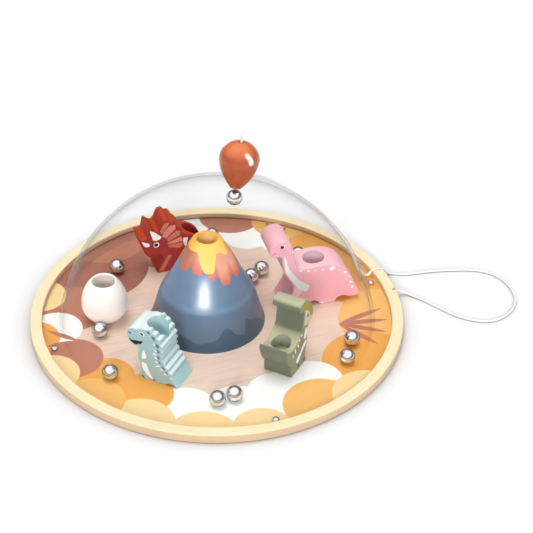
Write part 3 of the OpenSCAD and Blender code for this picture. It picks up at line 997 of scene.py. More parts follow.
def facing_up(order: list[int], spots: list[Vector]) -> list[int]:
    """Loop of places in a list of points, turned so that it runs anticlockwise."""
    area = sum(spots[order[i - 1]].cross(spots[order[i]]) for i in range(len(order)))
    return order if area > 0 else order[::-1]


def crossing(a: Vector, b: Vector, c: Vector, d: Vector) -> bool:
    """Whether the line from a to b crosses the line from c to d."""
    parted = (b - a).cross(c - a) * (b - a).cross(d - a) < 0
    return parted and (d - c).cross(a - c) * (d - c).cross(b - c) < 0


@dataclass
class Figure:
    """A thick painted cut-out dinosaur that stands on the board, with a pocket from above.

    It stands at shares of the board's radius. Its outline and its marks lie in the face's plane,
    along the board and up from it, and so does the middle of the pocket's floor.
    """

    node: str
    place: Point
    turn: float
    thick: float
    outline: Line
    pocket: Point
    pocket_d: float
    paint: Paint
    side_paint: Paint
    pocket_paint: Paint
    marks: list[Mark]
    rounding: float = 0.5
    corner_least: float = 0.35
    pocket_cut: float = 20
    pocket_sides: int = 72
    steps: int = 6
    round_steps: int = 3
    tries: int = 8
    reach: int = 26

    def inset(self, line: list[Vector], by: Sequence[float]) -> list[Vector]:
        """Draws the outline again, a little further in.

        Args:
            line: The outline.
            by: How far in, at each of its points.

        Returns:
            The new outline.
        """
        count = len(line)
        area = sum(line[i - 1].cross(line[i]) for i in range(count))
        side = 1 if area > 0 else -1
        moved = []
        for i in range(count):
            before = (line[i] - line[i - 1]).normalized()
            after = (line[(i + 1) % count] - line[i]).normalized()
            first = Vector((-before.y, before.x)) * side
            second = Vector((-after.y, after.x)) * side
            way = (first + second) / max(1 + first.dot(second), self.corner_least)
            moved.append(line[i] + way * by[i])
        return moved

    def room(self, line: list[Vector]) -> list[float]:
        """Finds how much rounding each point has room for, so that the edge never crosses itself.

        Args:
            line: The outline.

        Returns:
            The rounding at each point.
        """
        count = len(line)
        room = [self.rounding] * count
        for _ in range(self.tries):
            moved = self.inset(line, room)
            tight = set()
            for i in range(count):
                for j in range(i + 2, i + self.reach):
                    ends = (moved[i], moved[(i + 1) % count], moved[j % count], moved[(j + 1) % count])
                    if crossing(*ends):
                        tight.update(k % count for k in range(i, j + 2))
            if not tight:
                break
            for k in tight:
                room[k] /= 2
        return room

    def frame(self) -> Matrix:
        """Place of the figure's own frame in the model, in metres."""
        return PLAN.on_board_at(self.place) @ Matrix.Rotation(radians(self.turn), 4, "Z")

    def rings(self, mesh: BMesh, line: list[Vector]) -> list[list[BMVert]]:
        """Makes the rings of vertices from the face over the rounded edges to the back.

        Args:
            mesh: The mesh that they go into.
            line: The figure's outline.

        Returns:
            The rings, from the face to the back.
        """
        layer = mesh.verts.layers.float.new("rim")
        room = self.room(line)
        stations = []
        for k in range(self.round_steps + 1):
            t = pi / 2 * k / self.round_steps
            stations.append((1 - sin(t), self.rounding * (1 - cos(t)), sin(2 * t)))
        depths = stations + [(share, self.thick - depth, rim) for share, depth, rim in reversed(stations)]
        rings = []
        for share, depth, rim in depths:
            ring = []
            for p in self.inset(line, [share * r for r in room]):
                vertex = mesh.verts.new((p.x * MM, depth * MM, p.y * MM))
                vertex[layer] = rim
                ring.append(vertex)
            rings.append(ring)
        return rings

    def fill(self, mesh: BMesh, ring: list[BMVert], side: Side) -> None:
        """Closes a flat side, with its marks on the face.

        Args:
            mesh: The mesh.
            ring: The ring of vertices that bounds the side.
            side: Which side it is.
        """
        marks = self.marks if side is Side.FACE else []
        spots = [Vector((v.co.x / MM, v.co.z / MM)) for v in ring]
        faces = [facing_up(list(range(len(spots))), spots)]
        for mark in marks:
            line = mark.line()
            spots += line
            faces.append(facing_up(list(range(len(spots) - len(line), len(spots))), spots))
        found, _, tris, sources, _, covers = delaunay_2d_cdt(spots, [], faces, INSIDE_ONLY, SAME_SPOT, True)
        depth = ring[0].co.y
        corners = []
        for p, source in zip(found, sources):
            kept = next((i for i in source if i < len(ring)), None)
            corners.append(ring[kept] if kept is not None else mesh.verts.new((p.x * MM, depth, p.y * MM)))
        for tri, cover in zip(tris, covers):
            if 0 in cover:
                face = mesh.faces.new([corners[i] for i in tri])
                face.smooth = False
                face.material_index = self.slot_of(max(cover))

    def slot_of(self, cover: int) -> int:
        """Material slot of what covers a face: 0 is the bare face."""
        return self.paints().index(self.marks[cover - 1].ink.paint) if cover else 0

    def paints(self) -> list[Paint]:
        """Paints of the figure, the face's first and the side's second."""
        return list(dict.fromkeys([self.paint, self.side_paint] + [mark.ink.paint for mark in self.marks]))

    def build(self) -> None:
        """Makes the figure and puts it in its node's place."""
        mesh = bmesh.new()
        rings = self.rings(mesh, closed_line(self.outline, self.steps))
        side_slot = self.paints().index(self.side_paint)
        for near, far in zip(rings, rings[1:]):
            for k in range(len(near)):
                face = mesh.faces.new([near[k - 1], near[k], far[k], far[k - 1]])
                face.smooth = True
                face.material_index = side_slot
        self.fill(mesh, rings[0], Side.FACE)
        self.fill(mesh, rings[-1], Side.BACK)
        bmesh.ops.recalc_face_normals(mesh, faces=mesh.faces)
        mesh.transform(self.frame())
        piece = piece_from(f"{self.node}_piece", mesh, *self.paints())
        self.cut_pocket(piece)
        take_place(piece, self.node)

    def cut_pocket(self, piece: Object) -> None:
        """Cuts the pocket from above.

        Args:
            piece: The figure.
        """
        along, floor = self.pocket
        edge, top = self.pocket_d / 2, self.pocket_cut
        line = ((0, 0), (edge, 0), (edge, top), (0, top))
        spot = Matrix.Translation(Vector((along, self.thick / 2, floor)) * MM)
        mesh = turned(line, self.pocket_sides, self.frame() @ spot)
        cut(piece, piece_from("cutter", mesh, self.pocket_paint))


def cut(piece: Object, cutter: Object, sharp: float = 32) -> None:
    """Cuts one shape out of another, and removes the cutter.

    Args:
        piece: What is cut.
        cutter: What is cut out of it.
        sharp: The angle in degrees from which an edge is sharp.
    """
    tool = piece.modifiers.new("cut", "BOOLEAN")
    tool.operation = "DIFFERENCE"
    tool.solver = "EXACT"
    tool.material_mode = "TRANSFER"
    tool.object = cutter
    graph = bpy.context.evaluated_depsgraph_get()
    data = bpy.data.meshes.new_from_object(piece.evaluated_get(graph))
    piece.modifiers.clear()
    piece.data = data
    data.set_sharp_from_angle(angle=radians(sharp))
    bpy.data.objects.remove(cutter)


@dataclass
class Cord:
    """The cord from the knob, down the dome's back and over the table, to its hole in the ring.

    Its route is a row of points: on the wand, to the side and up; over the dome, down from its top
    and round it in degrees; and by the ring, outside its edge, with an angle or a height.
    """

    across: float = 1.6
    sides: int = 12
    step: float = 6.5
    finer: int = 3
    over_ring_at: float = 24.8
    into_ring_at: float = 13.5
    dome_gap: float = 0.4
    table_gap: float = 0.1
    held_at: Point = (62.5, 36.5)
    on_wand: Sequence[Point] = (
        (0, -5.6), (0, 1.6), (0.9, 3.9), (3.2, 4.8), (5.5, 3.9), (8.1, 0.4), (11.2, -3.4), (14.2, -9.2),
    )
    fall: Sequence[Spot] = ((17, 67.7, 15.8), (20.2, 67.7, 4.3))
    on_dome: Sequence[Point] = (
        (22.6, 67.5), (27, 67), (38.5, 61), (50.5, 49), (62.5, 36.5), (73.5, 27.4), (78.5, 25),
    )
    over_ring: Sequence[Point] = (
        (-12.4, 4.3), (-9.6, 5.3), (-8, 7.1), (-6, 7.5), (-3.4, 7.3), (-1, 6.4), (1, 5.4), (2.3, 3.2),
    )
    on_table: Sequence[Point] = (
        (6, 24.6), (14.5, 22.7), (39.6, 21), (63.9, 18.4), (75.8, 14.4), (78.4, 8.6), (71.5, 3.8),
        (57, 0.8), (38, 2.2), (17.9, 9.4),
    )
    into_ring: Sequence[Point] = ((7.6, 1.6), (4.6, 3.2), (1.6, 4.5), (-1.6, 4.6), (-6.4, 4.6))

    def route(self) -> list[Vector]:
        """Leads the cord from the knob's hole to the ring's.

        Returns:
            The points that it passes.
        """
        wand = PLAN.wand()
        top = PLAN.dome_r + PLAN.glide_gap + PLAN.knob_l
        lie = self.across / 2 + self.dome_gap
        table = self.across / 2 + self.table_gap
        points = [wand @ Vector((0, side, top + up)) for side, up in self.on_wand]
        points += [PLAN.over_dome(*spot) for spot in self.fall]
        points += [PLAN.over_dome(down, at, lie) for down, at in self.on_dome]
        points += [PLAN.by_ring(out, self.over_ring_at, up) for out, up in self.over_ring]
        points += [PLAN.by_ring(out, at, table) for out, at in self.on_table]
        points += [PLAN.by_ring(out, self.into_ring_at, up) for out, up in self.into_ring]
        return points

    def line(self) -> list[Vector]:
        """Middle line of the cord: a smooth curve through its route, drawn again more finely."""
        return open_line(open_line(self.route(), step=self.step), self.finer)

    def tube(self, line: list[Vector]) -> BMesh:
        """Makes a closed round tube about a line.

        Args:
            line: The line in millimetres.

        Returns:
            The mesh in metres.
        """
        mesh = bmesh.new()
        rings = []
        normal = Vector((1, 0, 0))
        for i, spot in enumerate(line):
            way = (line[min(i + 1, len(line) - 1)] - line[max(i - 1, 0)]).normalized()
            normal = (normal - way * normal.dot(way)).normalized()
            other = way.cross(normal)
            ring = []
            for k in range(self.sides):
                t = 2 * pi * k / self.sides
                off = (normal * cos(t) + other * sin(t)) * (self.across / 2)
                ring.append(mesh.verts.new((spot + off) * MM))
            rings.append(ring)
        for near, far in zip(rings, rings[1:]):
            for k in range(self.sides):
                mesh.faces.new([near[k - 1], near[k], far[k], far[k - 1]]).smooth = True
        mesh.faces.new(rings[0])
        mesh.faces.new(rings[-1])
        bmesh.ops.recalc_face_normals(mesh, faces=mesh.faces)
        return mesh

    def build(self) -> None:
        """Makes the cord, which runs between the wand and the tray."""
        line = self.line()
        piece = piece_from("wand_cord_piece", self.tube(line), CordFinish(), sharp=60)
        leaves_wand = self.route()[len(self.on_wand) - 1]
        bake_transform(piece)
        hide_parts("wand_cord", "wand_cord_end")


@dataclass
class Tray:
    """The wooden ring, the printed board in it, and the screws."""

    screw: Steel = Steel("screw_steel", colour(226, 226, 230), 0.2)

    def build(self, nodes: dict[str, Object]) -> None:
        """Dresses the tray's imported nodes.

        Args:
            nodes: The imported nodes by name.
        """
        dress(nodes["tray_ring"], Wood())
        dress(nodes["base_board"], LandPrint())
        for name in ("rim_screws", "figure_screws"):
            dress(nodes[name], self.screw)


@dataclass
class Dome:
    """The clear dome with its flat rim."""

    steps: int = 96
    bend_steps: int = 12
    around: int = 192
    foot_gap: float = 0.05

    def profile(self) -> Line:
        """Draws the turned shell from the top outside to the top inside.

        Returns:
            Its points of radius and height.
        """
        bend_z = PLAN.rim_top + PLAN.rim_bend
        bend_r = sqrt((PLAN.dome_r + PLAN.rim_bend) ** 2 - (bend_z - PLAN.dome_z) ** 2)
        join = degrees(atan2(bend_z - PLAN.dome_z, bend_r))
        foot = PLAN.board_t + self.foot_gap
        low_in = degrees(asin((foot - PLAN.dome_z) / PLAN.dome_in))
        line = arc(0, PLAN.dome_z, PLAN.dome_r, 90, join, self.steps)
        line += arc(bend_r, bend_z, PLAN.rim_bend, 180 + join, 270, self.bend_steps)[1:]
        line += [(PLAN.rim_r, PLAN.rim_top), (PLAN.rim_r, foot)]
        line += arc(0, PLAN.dome_z, PLAN.dome_in, low_in, 90, self.steps)
        return line

    def build(self) -> None:
        """Makes the dome."""
        mesh = turned(self.profile(), self.around, Matrix.Identity(4))
        take_place(piece_from("dome_piece", mesh, ClearPlastic()), "dome_shell")


@dataclass
class Volcano:
    """The turned volcano with its crater."""

    spot: Point = (-0.0649, -0.025)
    radius: float = 37.2
    height: float = 62.8
    crater_d: float = 13
    crater_depth: float = 22
    lip: float = 0.9
    lip_from: float = 60
    steps: int = 8
    lip_steps: int = 10
    around: int = 192
    shares: Sequence[Point] = (
        (1, 0), (0.983, 0.03), (0.948, 0.095), (0.9, 0.195), (0.852, 0.295), (0.807, 0.375),
        (0.777, 0.41), (0.737, 0.45), (0.648, 0.535), (0.55, 0.65), (0.452, 0.775), (0.345, 0.89),
        (0.28, 0.96), (0.246, 0.995),
    )

    def profile(self) -> Line:
        """Draws the outline from the middle of the foot to the middle of the crater's floor.

        Returns:
            Its points of radius and height.
        """
        top = self.height - self.lip / 2
        wall = self.crater_d / 2
        line = [(0, 0)]
        line += open_line([(r * self.radius, z * top) for r, z in self.shares], self.steps)
        line += arc(wall + self.lip, self.height - self.lip, self.lip, self.lip_from, 180, self.lip_steps)
        floor = self.height - self.crater_depth
        return line + [(wall, floor), (0, floor)]

    def build(self) -> Object:
        """Makes the volcano.

        Returns:
            The piece.
        """
        mesh = turned(self.profile(), self.around, PLAN.on_board_at(self.spot))
        paint = VolcanoPaint(PLAN.on_board(*self.spot), PLAN.board_t)
        return take_place(piece_from("volcano_piece", mesh, paint, sharp=50), "volcano")


@dataclass
class Egg:
    """The turned egg with a round pocket in its top."""

    spot: Point = (-0.7193, -0.0529)
    radius: float = 15
    height: float = 29.8
    wide_at: float = 12.3
    low: float = 13
    pocket_d: float = 14.4
    depth: float = 19
    lip: float = 0.9
    low_steps: int = 24
    high_steps: int = 32
    lip_steps: int = 6
    around: int = 128
    wall_slack: float = 0.01
    foot_slack: float = 1

    def profile(self) -> Line:
        """Draws the outline from the middle of the foot to the middle of the pocket's floor.

        Returns:
            Its points of radius and height.
        """
        edge = self.pocket_d / 2 + self.lip
        high = (self.height - self.wide_at) / sqrt(1 - (edge / self.radius) ** 2)
        start = -asin(self.wide_at / self.low)
        stop = asin((self.height - self.wide_at) / high)
        turns = [(start * (1 - i / self.low_steps), self.low) for i in range(self.low_steps + 1)]
        turns += [(stop * i / self.high_steps, high) for i in range(1, self.high_steps + 1)]
        line = [(0, 0)]
        line += [(self.radius * cos(t), self.wide_at + tall * sin(t)) for t, tall in turns]
        line += arc(edge, self.height - self.lip, self.lip, 90, 180, self.lip_steps)[1:]
        floor = self.height - self.depth
        return line + [(self.pocket_d / 2, floor), (0, floor)]

    def build(self) -> None:
        """Makes the egg."""
        place = PLAN.on_board_at(self.spot)
        mesh = turned(self.profile(), self.around, place)
        for face in mesh.faces:
            x, y, z = (face.calc_center_median() - place.translation) / MM
            in_pocket = hypot(x, y) < self.pocket_d / 2 + self.wall_slack
            face.material_index = int(in_pocket and z > self.foot_slack)
        take_place(piece_from("egg_piece", mesh, EGG_WHITE, EGG_POCKET, sharp=50), "egg")


@dataclass
class Balls:
    """The loose steel balls and the one under the wand."""

    count: int = 11

    def build(self, nodes: dict[str, Object]) -> None:
        """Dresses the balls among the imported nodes."""
        for name in [f"ball_{k}" for k in range(1, self.count + 1)] + ["carried_ball"]:
            dress(nodes[name], Steel("ball_steel"))


@dataclass
class Wand:
    """The wand's turned knob and the magnet in its narrow end."""

    magnet_d: float = 5
    magnet_l: float = 6
    fit_gap: float = 0.05
    hole_d: float = 1.8
    hole_depth: float = 5.6
    mouth_d: float = 4.4
    mouth_h: float = 1.4
    steps: int = 8
    around: int = 128
    mouth_low: float = 0.12
    mouth_round: float = 0.2
    shares: Sequence[Point] = (
        (0.3, 0), (0.4, 0.05), (0.58, 0.15), (0.755, 0.27), (0.875, 0.38), (0.955, 0.49),
        (1, 0.6), (0.985, 0.69), (0.89, 0.79), (0.7, 0.885), (0.46, 0.955), (0.2, 0.995), (0, 1),
    )

    def profile(self) -> Line:
        """Draws the outline from the magnet's seat round the knob to the bottom of the cord's hole.

        Returns:
            Its points of radius and height.
        """
        seat = self.magnet_d / 2 + self.fit_gap
        length = PLAN.knob_l
        line = [(0, self.magnet_l), (seat, self.magnet_l), (seat, 0)]
        curve = open_line([(r * PLAN.knob_r, z * length) for r, z in self.shares], self.steps)
        line += [p for p in curve if p.y < length / 2 or p.x > self.mouth_d / 2 + self.mouth_round]
        hole, floor = self.hole_d / 2, length - self.hole_depth
        line += [(self.mouth_d / 2, length - self.mouth_low), (hole, length - self.mouth_h)]
        return line + [(hole, floor), (0, floor)]

    def build(self, nodes: dict[str, Object]) -> Object:
        """Makes the knob and dresses the magnet.

        Args:
            nodes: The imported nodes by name.

        Returns:
            The knob.
        """
        place = PLAN.wand() @ Matrix.Translation((0, 0, PLAN.dome_r + PLAN.glide_gap))
        place.translation *= MM
        piece = piece_from("knob_piece", turned(self.profile(), self.around, place), KNOB_ORANGE_LIT_TOP, sharp=50)
        dress(nodes["wand_magnet"], MAGNET_GREY)
        return take_place(piece, "wand_knob", "wand")


def stroke(points: Sequence[Point], width: float, ink: Ink) -> Mark:
    """Makes a painted line.

    Args:
        points: The points that it follows.
        width: Its width.
        ink: Its colour.

    Returns:
        The mark.
    """
    spots = [Vector(p) for p in points]
    left, right = [], []
    for i, spot in enumerate(spots):
        way = (spots[min(i + 1, len(spots) - 1)] - spots[max(i - 1, 0)]).normalized()
        off = Vector((-way.y, way.x)) * width / 2
        left.append(spot + off)
        right.append(spot - off)
    return Mark([tuple(p) for p in left + right[::-1]], ink)


def dot(ink: Ink, x: float, y: float, wide: float, high: float, turn: float = 0, sides: int = 20) -> Mark:
    """Makes a painted oval.

    Args:
        ink: Its colour.
        x: How far along the face its middle is.
        y: How high its middle is.
        wide: Half of its length.
        high: Half of its width.
        turn: How far it is turned, in degrees.
        sides: How many short lines make it.

    Returns:
        The mark.
    """
    c, s = cos(radians(turn)), sin(radians(turn))
    angles = (2 * pi * i / sides for i in range(sides))
    ring = [(wide * cos(t), high * sin(t)) for t in angles]
    return Mark([(x + u * c - v * s, y + u * s + v * c) for u, v in ring], ink)


def short_armed() -> Figure:
    """Makes the light blue dinosaur with a scalloped back.

    Returns:
        The figure.
    """
    spikes = (
        ((-20.9, 37.4), (-19.1, 38.2), (-18.2, 35.6), (-20, 36)),
        ((-17.7, 34.9), (-15.3, 35), (-14.8, 31.8), (-16.8, 32.6)),
        ((-15, 30.1), (-13.1, 30.2), (-12, 28.9), (-13.4, 26.8), (-14.6, 27.8)),
        ((-14.2, 25.9), (-13, 25.8), (-11.9, 24.5), (-13.5, 23), (-14, 24.3)),
        ((-13.9, 21.1), (-12.7, 21.6), (-12, 19.6), (-13.6, 18.3)),
        ((-13.4, 17.3), (-11.9, 17), (-11, 15), (-12.8, 15.5)),
        ((-11.3, 14.1), (-9.4, 13.9), (-8.6, 11.7), (-10.3, 12.1)),
        ((-9, 11.1), (-7.3, 10.6), (-6.5, 9), (-8.2, 9.4)),
    )
    ticks = (
        ((-15.9, 29.6), (-15.5, 28.4)), ((-15.8, 24.9), (-14.4, 24.1)), ((-16.6, 22.2), (-14.4, 21.5)),
        ((-15.9, 19.4), (-14.3, 18.6)), ((-15.2, 16.1), (-13.9, 16.1)), ((-15.2, 12.3), (-12.4, 13.9)),
        ((-12.1, 11.6), (-10.4, 11)), ((-9.6, 8.6), (-7.6, 8.3)), ((-5.3, 6.9), (-4.3, 6.2)),
    )
    mouth = (
        (-33.2, 29.4), (-31.8, 27.9), (-29.9, 27.9), (-27.7, 28.3), (-25.7, 28.4), (-23.9, 29.2),
        (-23.6, 28), (-25.6, 25.8), (-26.5, 26.4), (-27.4, 25), (-28.1, 25.5), (-29.1, 24.7),
        (-29.9, 25.4), (-31, 25.9), (-31.9, 26.6), (-32.7, 27.6),
    )
    marks = [Mark(spots, Ink.SLATE) for spots in spikes]
    marks += [stroke(ends, 0.75, Ink.WHITE) for ends in ticks]
    marks += [
        Mark(((-23.4, 22.3), (-22, 19.8), (-21.4, 17.2), (-22.7, 15.7), (-24.5, 15.8), (-24.3, 19.1)),
             Ink.CREAM, True),
        Mark(((-24.7, 12.4), (-21.9, 12.4), (-20.5, 8.8), (-19, 5.1), (-17.2, 2), (-19.4, 2.4),
              (-22.1, 4.8), (-24.2, 8.3)), Ink.CREAM, True),
        dot(Ink.WHITE, -24, 34.4, 1.8, 1.2, -37),
        dot(Ink.BLACK, -24.1, 34.3, 1.35, 0.8, -37),
        dot(Ink.BLACK, -32.3, 32.8, 1, 0.5, -22),
        Mark(mouth, Ink.BLACK),
        stroke(((-24.9, 2.3), (-23.4, 0.9)), 0.9, Ink.BLACK),
        stroke(((-17.2, 1.7), (-15.7, 0.9)), 0.9, Ink.BLACK),
    ]
    return Figure(
        node="t_rex_dinosaur", place=(-0.2098, -0.7443), turn=-24, thick=19.5,
        outline=(
            (0, 0, 1), (-5.4, 2), (-9.6, 0, 1), (-22.4, 0, 1), (-25.4, 0.8), (-26.2, 3.2), (-25.6, 7),
            (-25.8, 11), (-27.2, 15), (-27.4, 20), (-26.6, 23.8, 1), (-29.6, 23.8), (-32.6, 26.4),
            (-34.4, 30.6), (-34, 34.4), (-31, 36.8), (-27.6, 37.2), (-24, 38.6), (-20.4, 38.6, 1),
            (-18.4, 39.6), (-16.8, 37.4, 1), (-14.6, 36.8), (-13.8, 34.2, 1), (-11.8, 33), (-11.8, 30, 1),
            (-9.9, 28.4), (-11.1, 26, 1), (-9.6, 24), (-11.2, 22, 1), (-9.8, 20), (-10.8, 18, 1),
            (-8.8, 16.4), (-8.9, 14, 1), (-6.4, 13), (-6.6, 10.6, 1), (-4.4, 9.4), (-4.4, 7, 1),
            (-2.4, 3.8),
        ),
        pocket=(-18, 25), pocket_d=13.4, paint=BLUE, side_paint=BLUE_SIDES_LIT_TOP, pocket_paint=BLUE_POCKET,
        marks=marks,
    )


def long_necked() -> Figure:
    """Makes the pink dinosaur with a long neck.

    Returns:
        The figure.
    """
    white = (
        (-29.6, 45.2, 0.75, 1.7), (-28.6, 40.7, 0.5, 1.1), (-24, 29.5, 1, 0.95), (-18.7, 28.3, 1.2, 0.6),
        (-2.8, 27.5, 1.7, 1.4), (6.3, 22.8, 1, 1), (10.6, 14.3, 0.9, 0.9), (11.7, 10.1, 0.9, 0.95),
        (-8.4, 1.1, 1.1, 0.5),
    )
    pale = (
        (-27.6, 36.7, 0.7, 1.1), (-26.4, 33, 0.8, 0.8), (-14.1, 28, 0.9, 0.9), (-9.1, 27.7, 0.9, 1.1),
        (2.3, 25.5, 0.8, 1), (9.1, 18.9, 0.85, 0.9), (13.8, 6.1, 0.8, 0.8),
    )
    band = (
        (-35, 42.6), (-33.9, 38.9), (-32, 32.5), (-28.8, 27.4), (-24.4, 22), (-20.4, 18.7),
        (-17.3, 16.3, 1), (-19.7, 11.9, 1), (-21.5, 13), (-25, 14.9), (-27.7, 19), (-31.3, 24.8),
        (-34, 29.9), (-34.9, 35.1), (-35.3, 40.1),
    )
    marks = [dot(Ink.WHITE, *spot) for spot in white]
    marks += [dot(Ink.PALE_PINK, *spot) for spot in pale]
    marks += [
        Mark(((-26.7, 16.6), (-22.3, 13.2), (-25.2, 8.5), (-29, 12)), Ink.PALE_PINK),
        Mark(band, Ink.CREAM, True),
        dot(Ink.WHITE, -36.5, 50.3, 1.5, 1.4),
        dot(Ink.BLACK, -36.9, 50.1, 1.25, 1.2),
        stroke(((-43.3, 44.6), (-42.5, 45.7), (-41, 46.2)), 0.5, Ink.ROSE),
    ]
    return Figure(
        node="long_neck_dinosaur", place=(0.7593, 0.1758), turn=17, thick=22,
        outline=(
            (0, 0, 1), (2.2, 3.2), (6, 3.9), (12, 2.2), (16.6, 3.2), (17.3, 5.2), (14.8, 10), (11.8, 16.6),
            (8, 23), (3.4, 27.6), (-3.6, 30.4), (-11.4, 31), (-18.8, 30.2), (-24.4, 31.2), (-27.6, 35.4),
            (-29.2, 43.8), (-30.4, 49.8), (-33, 53), (-37, 54), (-41.4, 52.4), (-44.4, 49.4), (-45, 46),
            (-43.6, 43), (-41.4, 42, 1), (-38.6, 42.5), (-36.6, 40.4), (-36.4, 36.6), (-34.6, 28.6),
            (-29.8, 20), (-28.6, 15), (-30, 10, 1), (-35.4, 0, 1), (-18, 0, 1), (-15.4, 3.2), (-12.4, 3),
            (-9.6, 0, 1),
        ),
        pocket=(-12.2, 16), pocket_d=14.4, paint=PINK, side_paint=PINK_SIDES_LIT_TOP, pocket_paint=PINK_POCKET,
        marks=marks,
    )


def horned() -> Figure:
    """Makes the red dinosaur with horns and a fan behind its head.

    Returns:
        The figure.
    """
    marks = [
        Mark(((2.4, 33.2), (5.3, 38.9), (8.5, 39.4), (8.9, 38.7), (4.9, 31.3), (3.6, 30.9)), Ink.TAN),
        Mark(((3.5, 28.9), (4.9, 31.2), (9, 36.5), (12.9, 36.6), (13.2, 33.2), (6.8, 27)), Ink.SALMON),
        Mark(((6.8, 26.2), (13.5, 31.7), (16.4, 30.9), (16.5, 28), (8.1, 24)), Ink.TAN),
        Mark(((7.4, 23), (16.8, 26.3), (18.4, 23.2), (18, 22.5), (12.4, 21.9), (7.7, 21.8)), Ink.SALMON),
        Mark(((7.7, 20.6), (12.7, 21.4), (18, 21.4), (18, 18.3), (14.9, 17.4), (8, 19.7)), Ink.TAN),
        Mark(((-10.1, 27.6), (-8.4, 26.7), (-6.1, 25.6), (-4.8, 24.4), (-5.3, 22.9), (-6.8, 22.6),
              (-8.4, 23.6), (-9.5, 25.6)), Ink.WHITE, True),
        Mark(((-4.5, 35.3), (-3, 34.4), (-1.6, 33.6), (3.5, 28.7), (2, 26.9), (-0.1, 26.4), (-2.4, 27.1),
              (-3.5, 30.8)), Ink.WHITE),
        dot(Ink.WHITE, -0.3, 23.1, 2, 2),
        dot(Ink.BLACK, -0.5, 23.1, 1.45, 1.3),
        Mark(((18.6, 24.8), (21.6, 24.5), (20.3, 16.6), (19, 19.2), (18.2, 22.1)), Ink.WHITE),
        Mark(((7.9, 13.5), (10.2, 12.6), (4.3, 1.4), (0.9, 1.2)), Ink.BRICK),
        stroke(((-4.2, 15.2), (-1.2, 15.6)), 0.4, Ink.BLACK),
    ]
    return Figure(
        node="horned_dinosaur", place=(-0.4196, 0.4466), turn=21, thick=17.5,
        outline=(
            (0, 0, 1), (4.6, 11.6, 1), (2.6, 13.8), (-0.6, 14.4), (-3.6, 13.2), (-6.4, 14.8),
            (-8.8, 18.8), (-10.6, 24.6), (-11.2, 28.8, 1), (-8.8, 28.4), (-6.4, 29, 1), (-5.8, 32.8),
            (-4.9, 36.8, 1), (-2.8, 35.4), (-0.6, 33.6), (1.8, 34.2), (3.6, 38), (5, 41, 1), (8, 41.4),
            (9.6, 39.2, 1), (12.2, 38.8), (13.9, 36.8), (13.9, 34.6, 1), (16, 33.6), (17.4, 31.8),
            (17, 29.8, 1), (20, 27.8), (24, 26.2), (28.4, 23.8), (31.8, 20.6), (34.2, 16.2), (37.4, 9.6),
            (41, 6.4, 1), (37.4, 5.4), (34.2, 3.4), (34, 0, 1), (23.6, 0, 1), (21.4, 4.4), (13.6, 4.6),
            (11, 0, 1),
        ),
        pocket=(26.6, 13), pocket_d=12.6, paint=RED, side_paint=RUST_SIDES_LIT_TOP, pocket_paint=RED_POCKET,
        marks=marks,
    )


def crested() -> Figure:
    """Makes the green dinosaur with a crest.

    Returns:
        The figure.
    """
    crest = (
        (9.9, 45.4), (10.2, 46.8), (12.6, 47.8), (16.8, 47.8), (20.6, 45.2), (24.8, 40.2), (27.4, 35.2),
        (27.5, 32.4), (25, 32.8), (23.4, 36.6), (19.6, 40.6), (16, 42.2), (13.2, 42.6), (10.8, 44),
    )
    cheek = (
        (16.6, 40.6), (19.4, 39.6), (22.8, 36), (24.4, 32.2), (27.2, 31), (26, 28.9), (22.6, 27.9),
        (17, 28.9), (16, 32), (16.9, 36.6),
    )
    marks = [
        Mark(((18.4, 26.6), (20.3, 24.4), (20.2, 20.6), (18.4, 18.4), (16.2, 19.4), (16.8, 23.6)),
             Ink.CREAM, True),
        Mark(((17.1, 16.5), (19.8, 16), (19, 13.2), (14.9, 11.2), (11.2, 7.8), (8.3, 5.8), (6.3, 7.8),
              (7.1, 9.8), (11, 12)), Ink.CREAM, True),
        Mark(cheek, Ink.PALE_GREEN, True),
        Mark(crest, Ink.OLIVE, True),
        dot(Ink.SLATE, 20.8, 34.5, 1.7, 1.1, -56),
        dot(Ink.WHITE, 13, 24.3, 1, 1),
        dot(Ink.WHITE, 10.2, 22.2, 0.8, 1.1),
        stroke(((7.4, 21), (8.9, 17.8)), 1.1, Ink.WHITE),
        stroke(((3.7, 19.8), (5, 15.8)), 1.1, Ink.WHITE),
        stroke(((0.8, 17.4), (1.8, 14.6)), 0.9, Ink.WHITE),
        # Painted shadow: two black dots stand for the shaded gaps between the legs.
        dot(Ink.BLACK, 17.4, 2.7, 1.1, 1),
        dot(Ink.BLACK, 9, 3.4, 1.4, 1.2),
    ]
    return Figure(
        node="crested_dinosaur", place=(0.4785, -0.6114), turn=64, thick=19,
        outline=(
            (0, 0, 1), (-0.4, 8.6, 1), (-1.8, 9.6), (-4.4, 13.6), (-6.4, 18.4), (-7.6, 22.4),
            (-6.8, 24.8, 1), (-4, 22), (0, 21.2), (5, 21.4), (9.6, 23.4), (12.8, 25.8), (14.4, 29),
            (15, 33), (16, 37), (15.6, 40.8, 1), (12.6, 41.6), (9.6, 43.4), (9.4, 46.4), (12, 48.4),
            (16.8, 48.4), (21, 45.8), (25.2, 40.8), (28, 35.6), (28.4, 31.4), (26.4, 28.2),
            (22.4, 27.2, 1), (20.8, 24), (20.8, 18.6), (20.6, 13), (19, 7.6), (19.2, 3.2), (20, 0, 1),
        ),
        pocket=(3.6, 14), pocket_d=12.5, paint=GREEN, side_paint=GREEN_SIDES_LIT_TOP, pocket_paint=GREEN_POCKET,
        marks=marks,
    )


def aimed(way: Vector) -> Euler:
    """Turn of a lamp that shines that way."""
    return way.to_track_quat("-Z", "Y").to_euler()


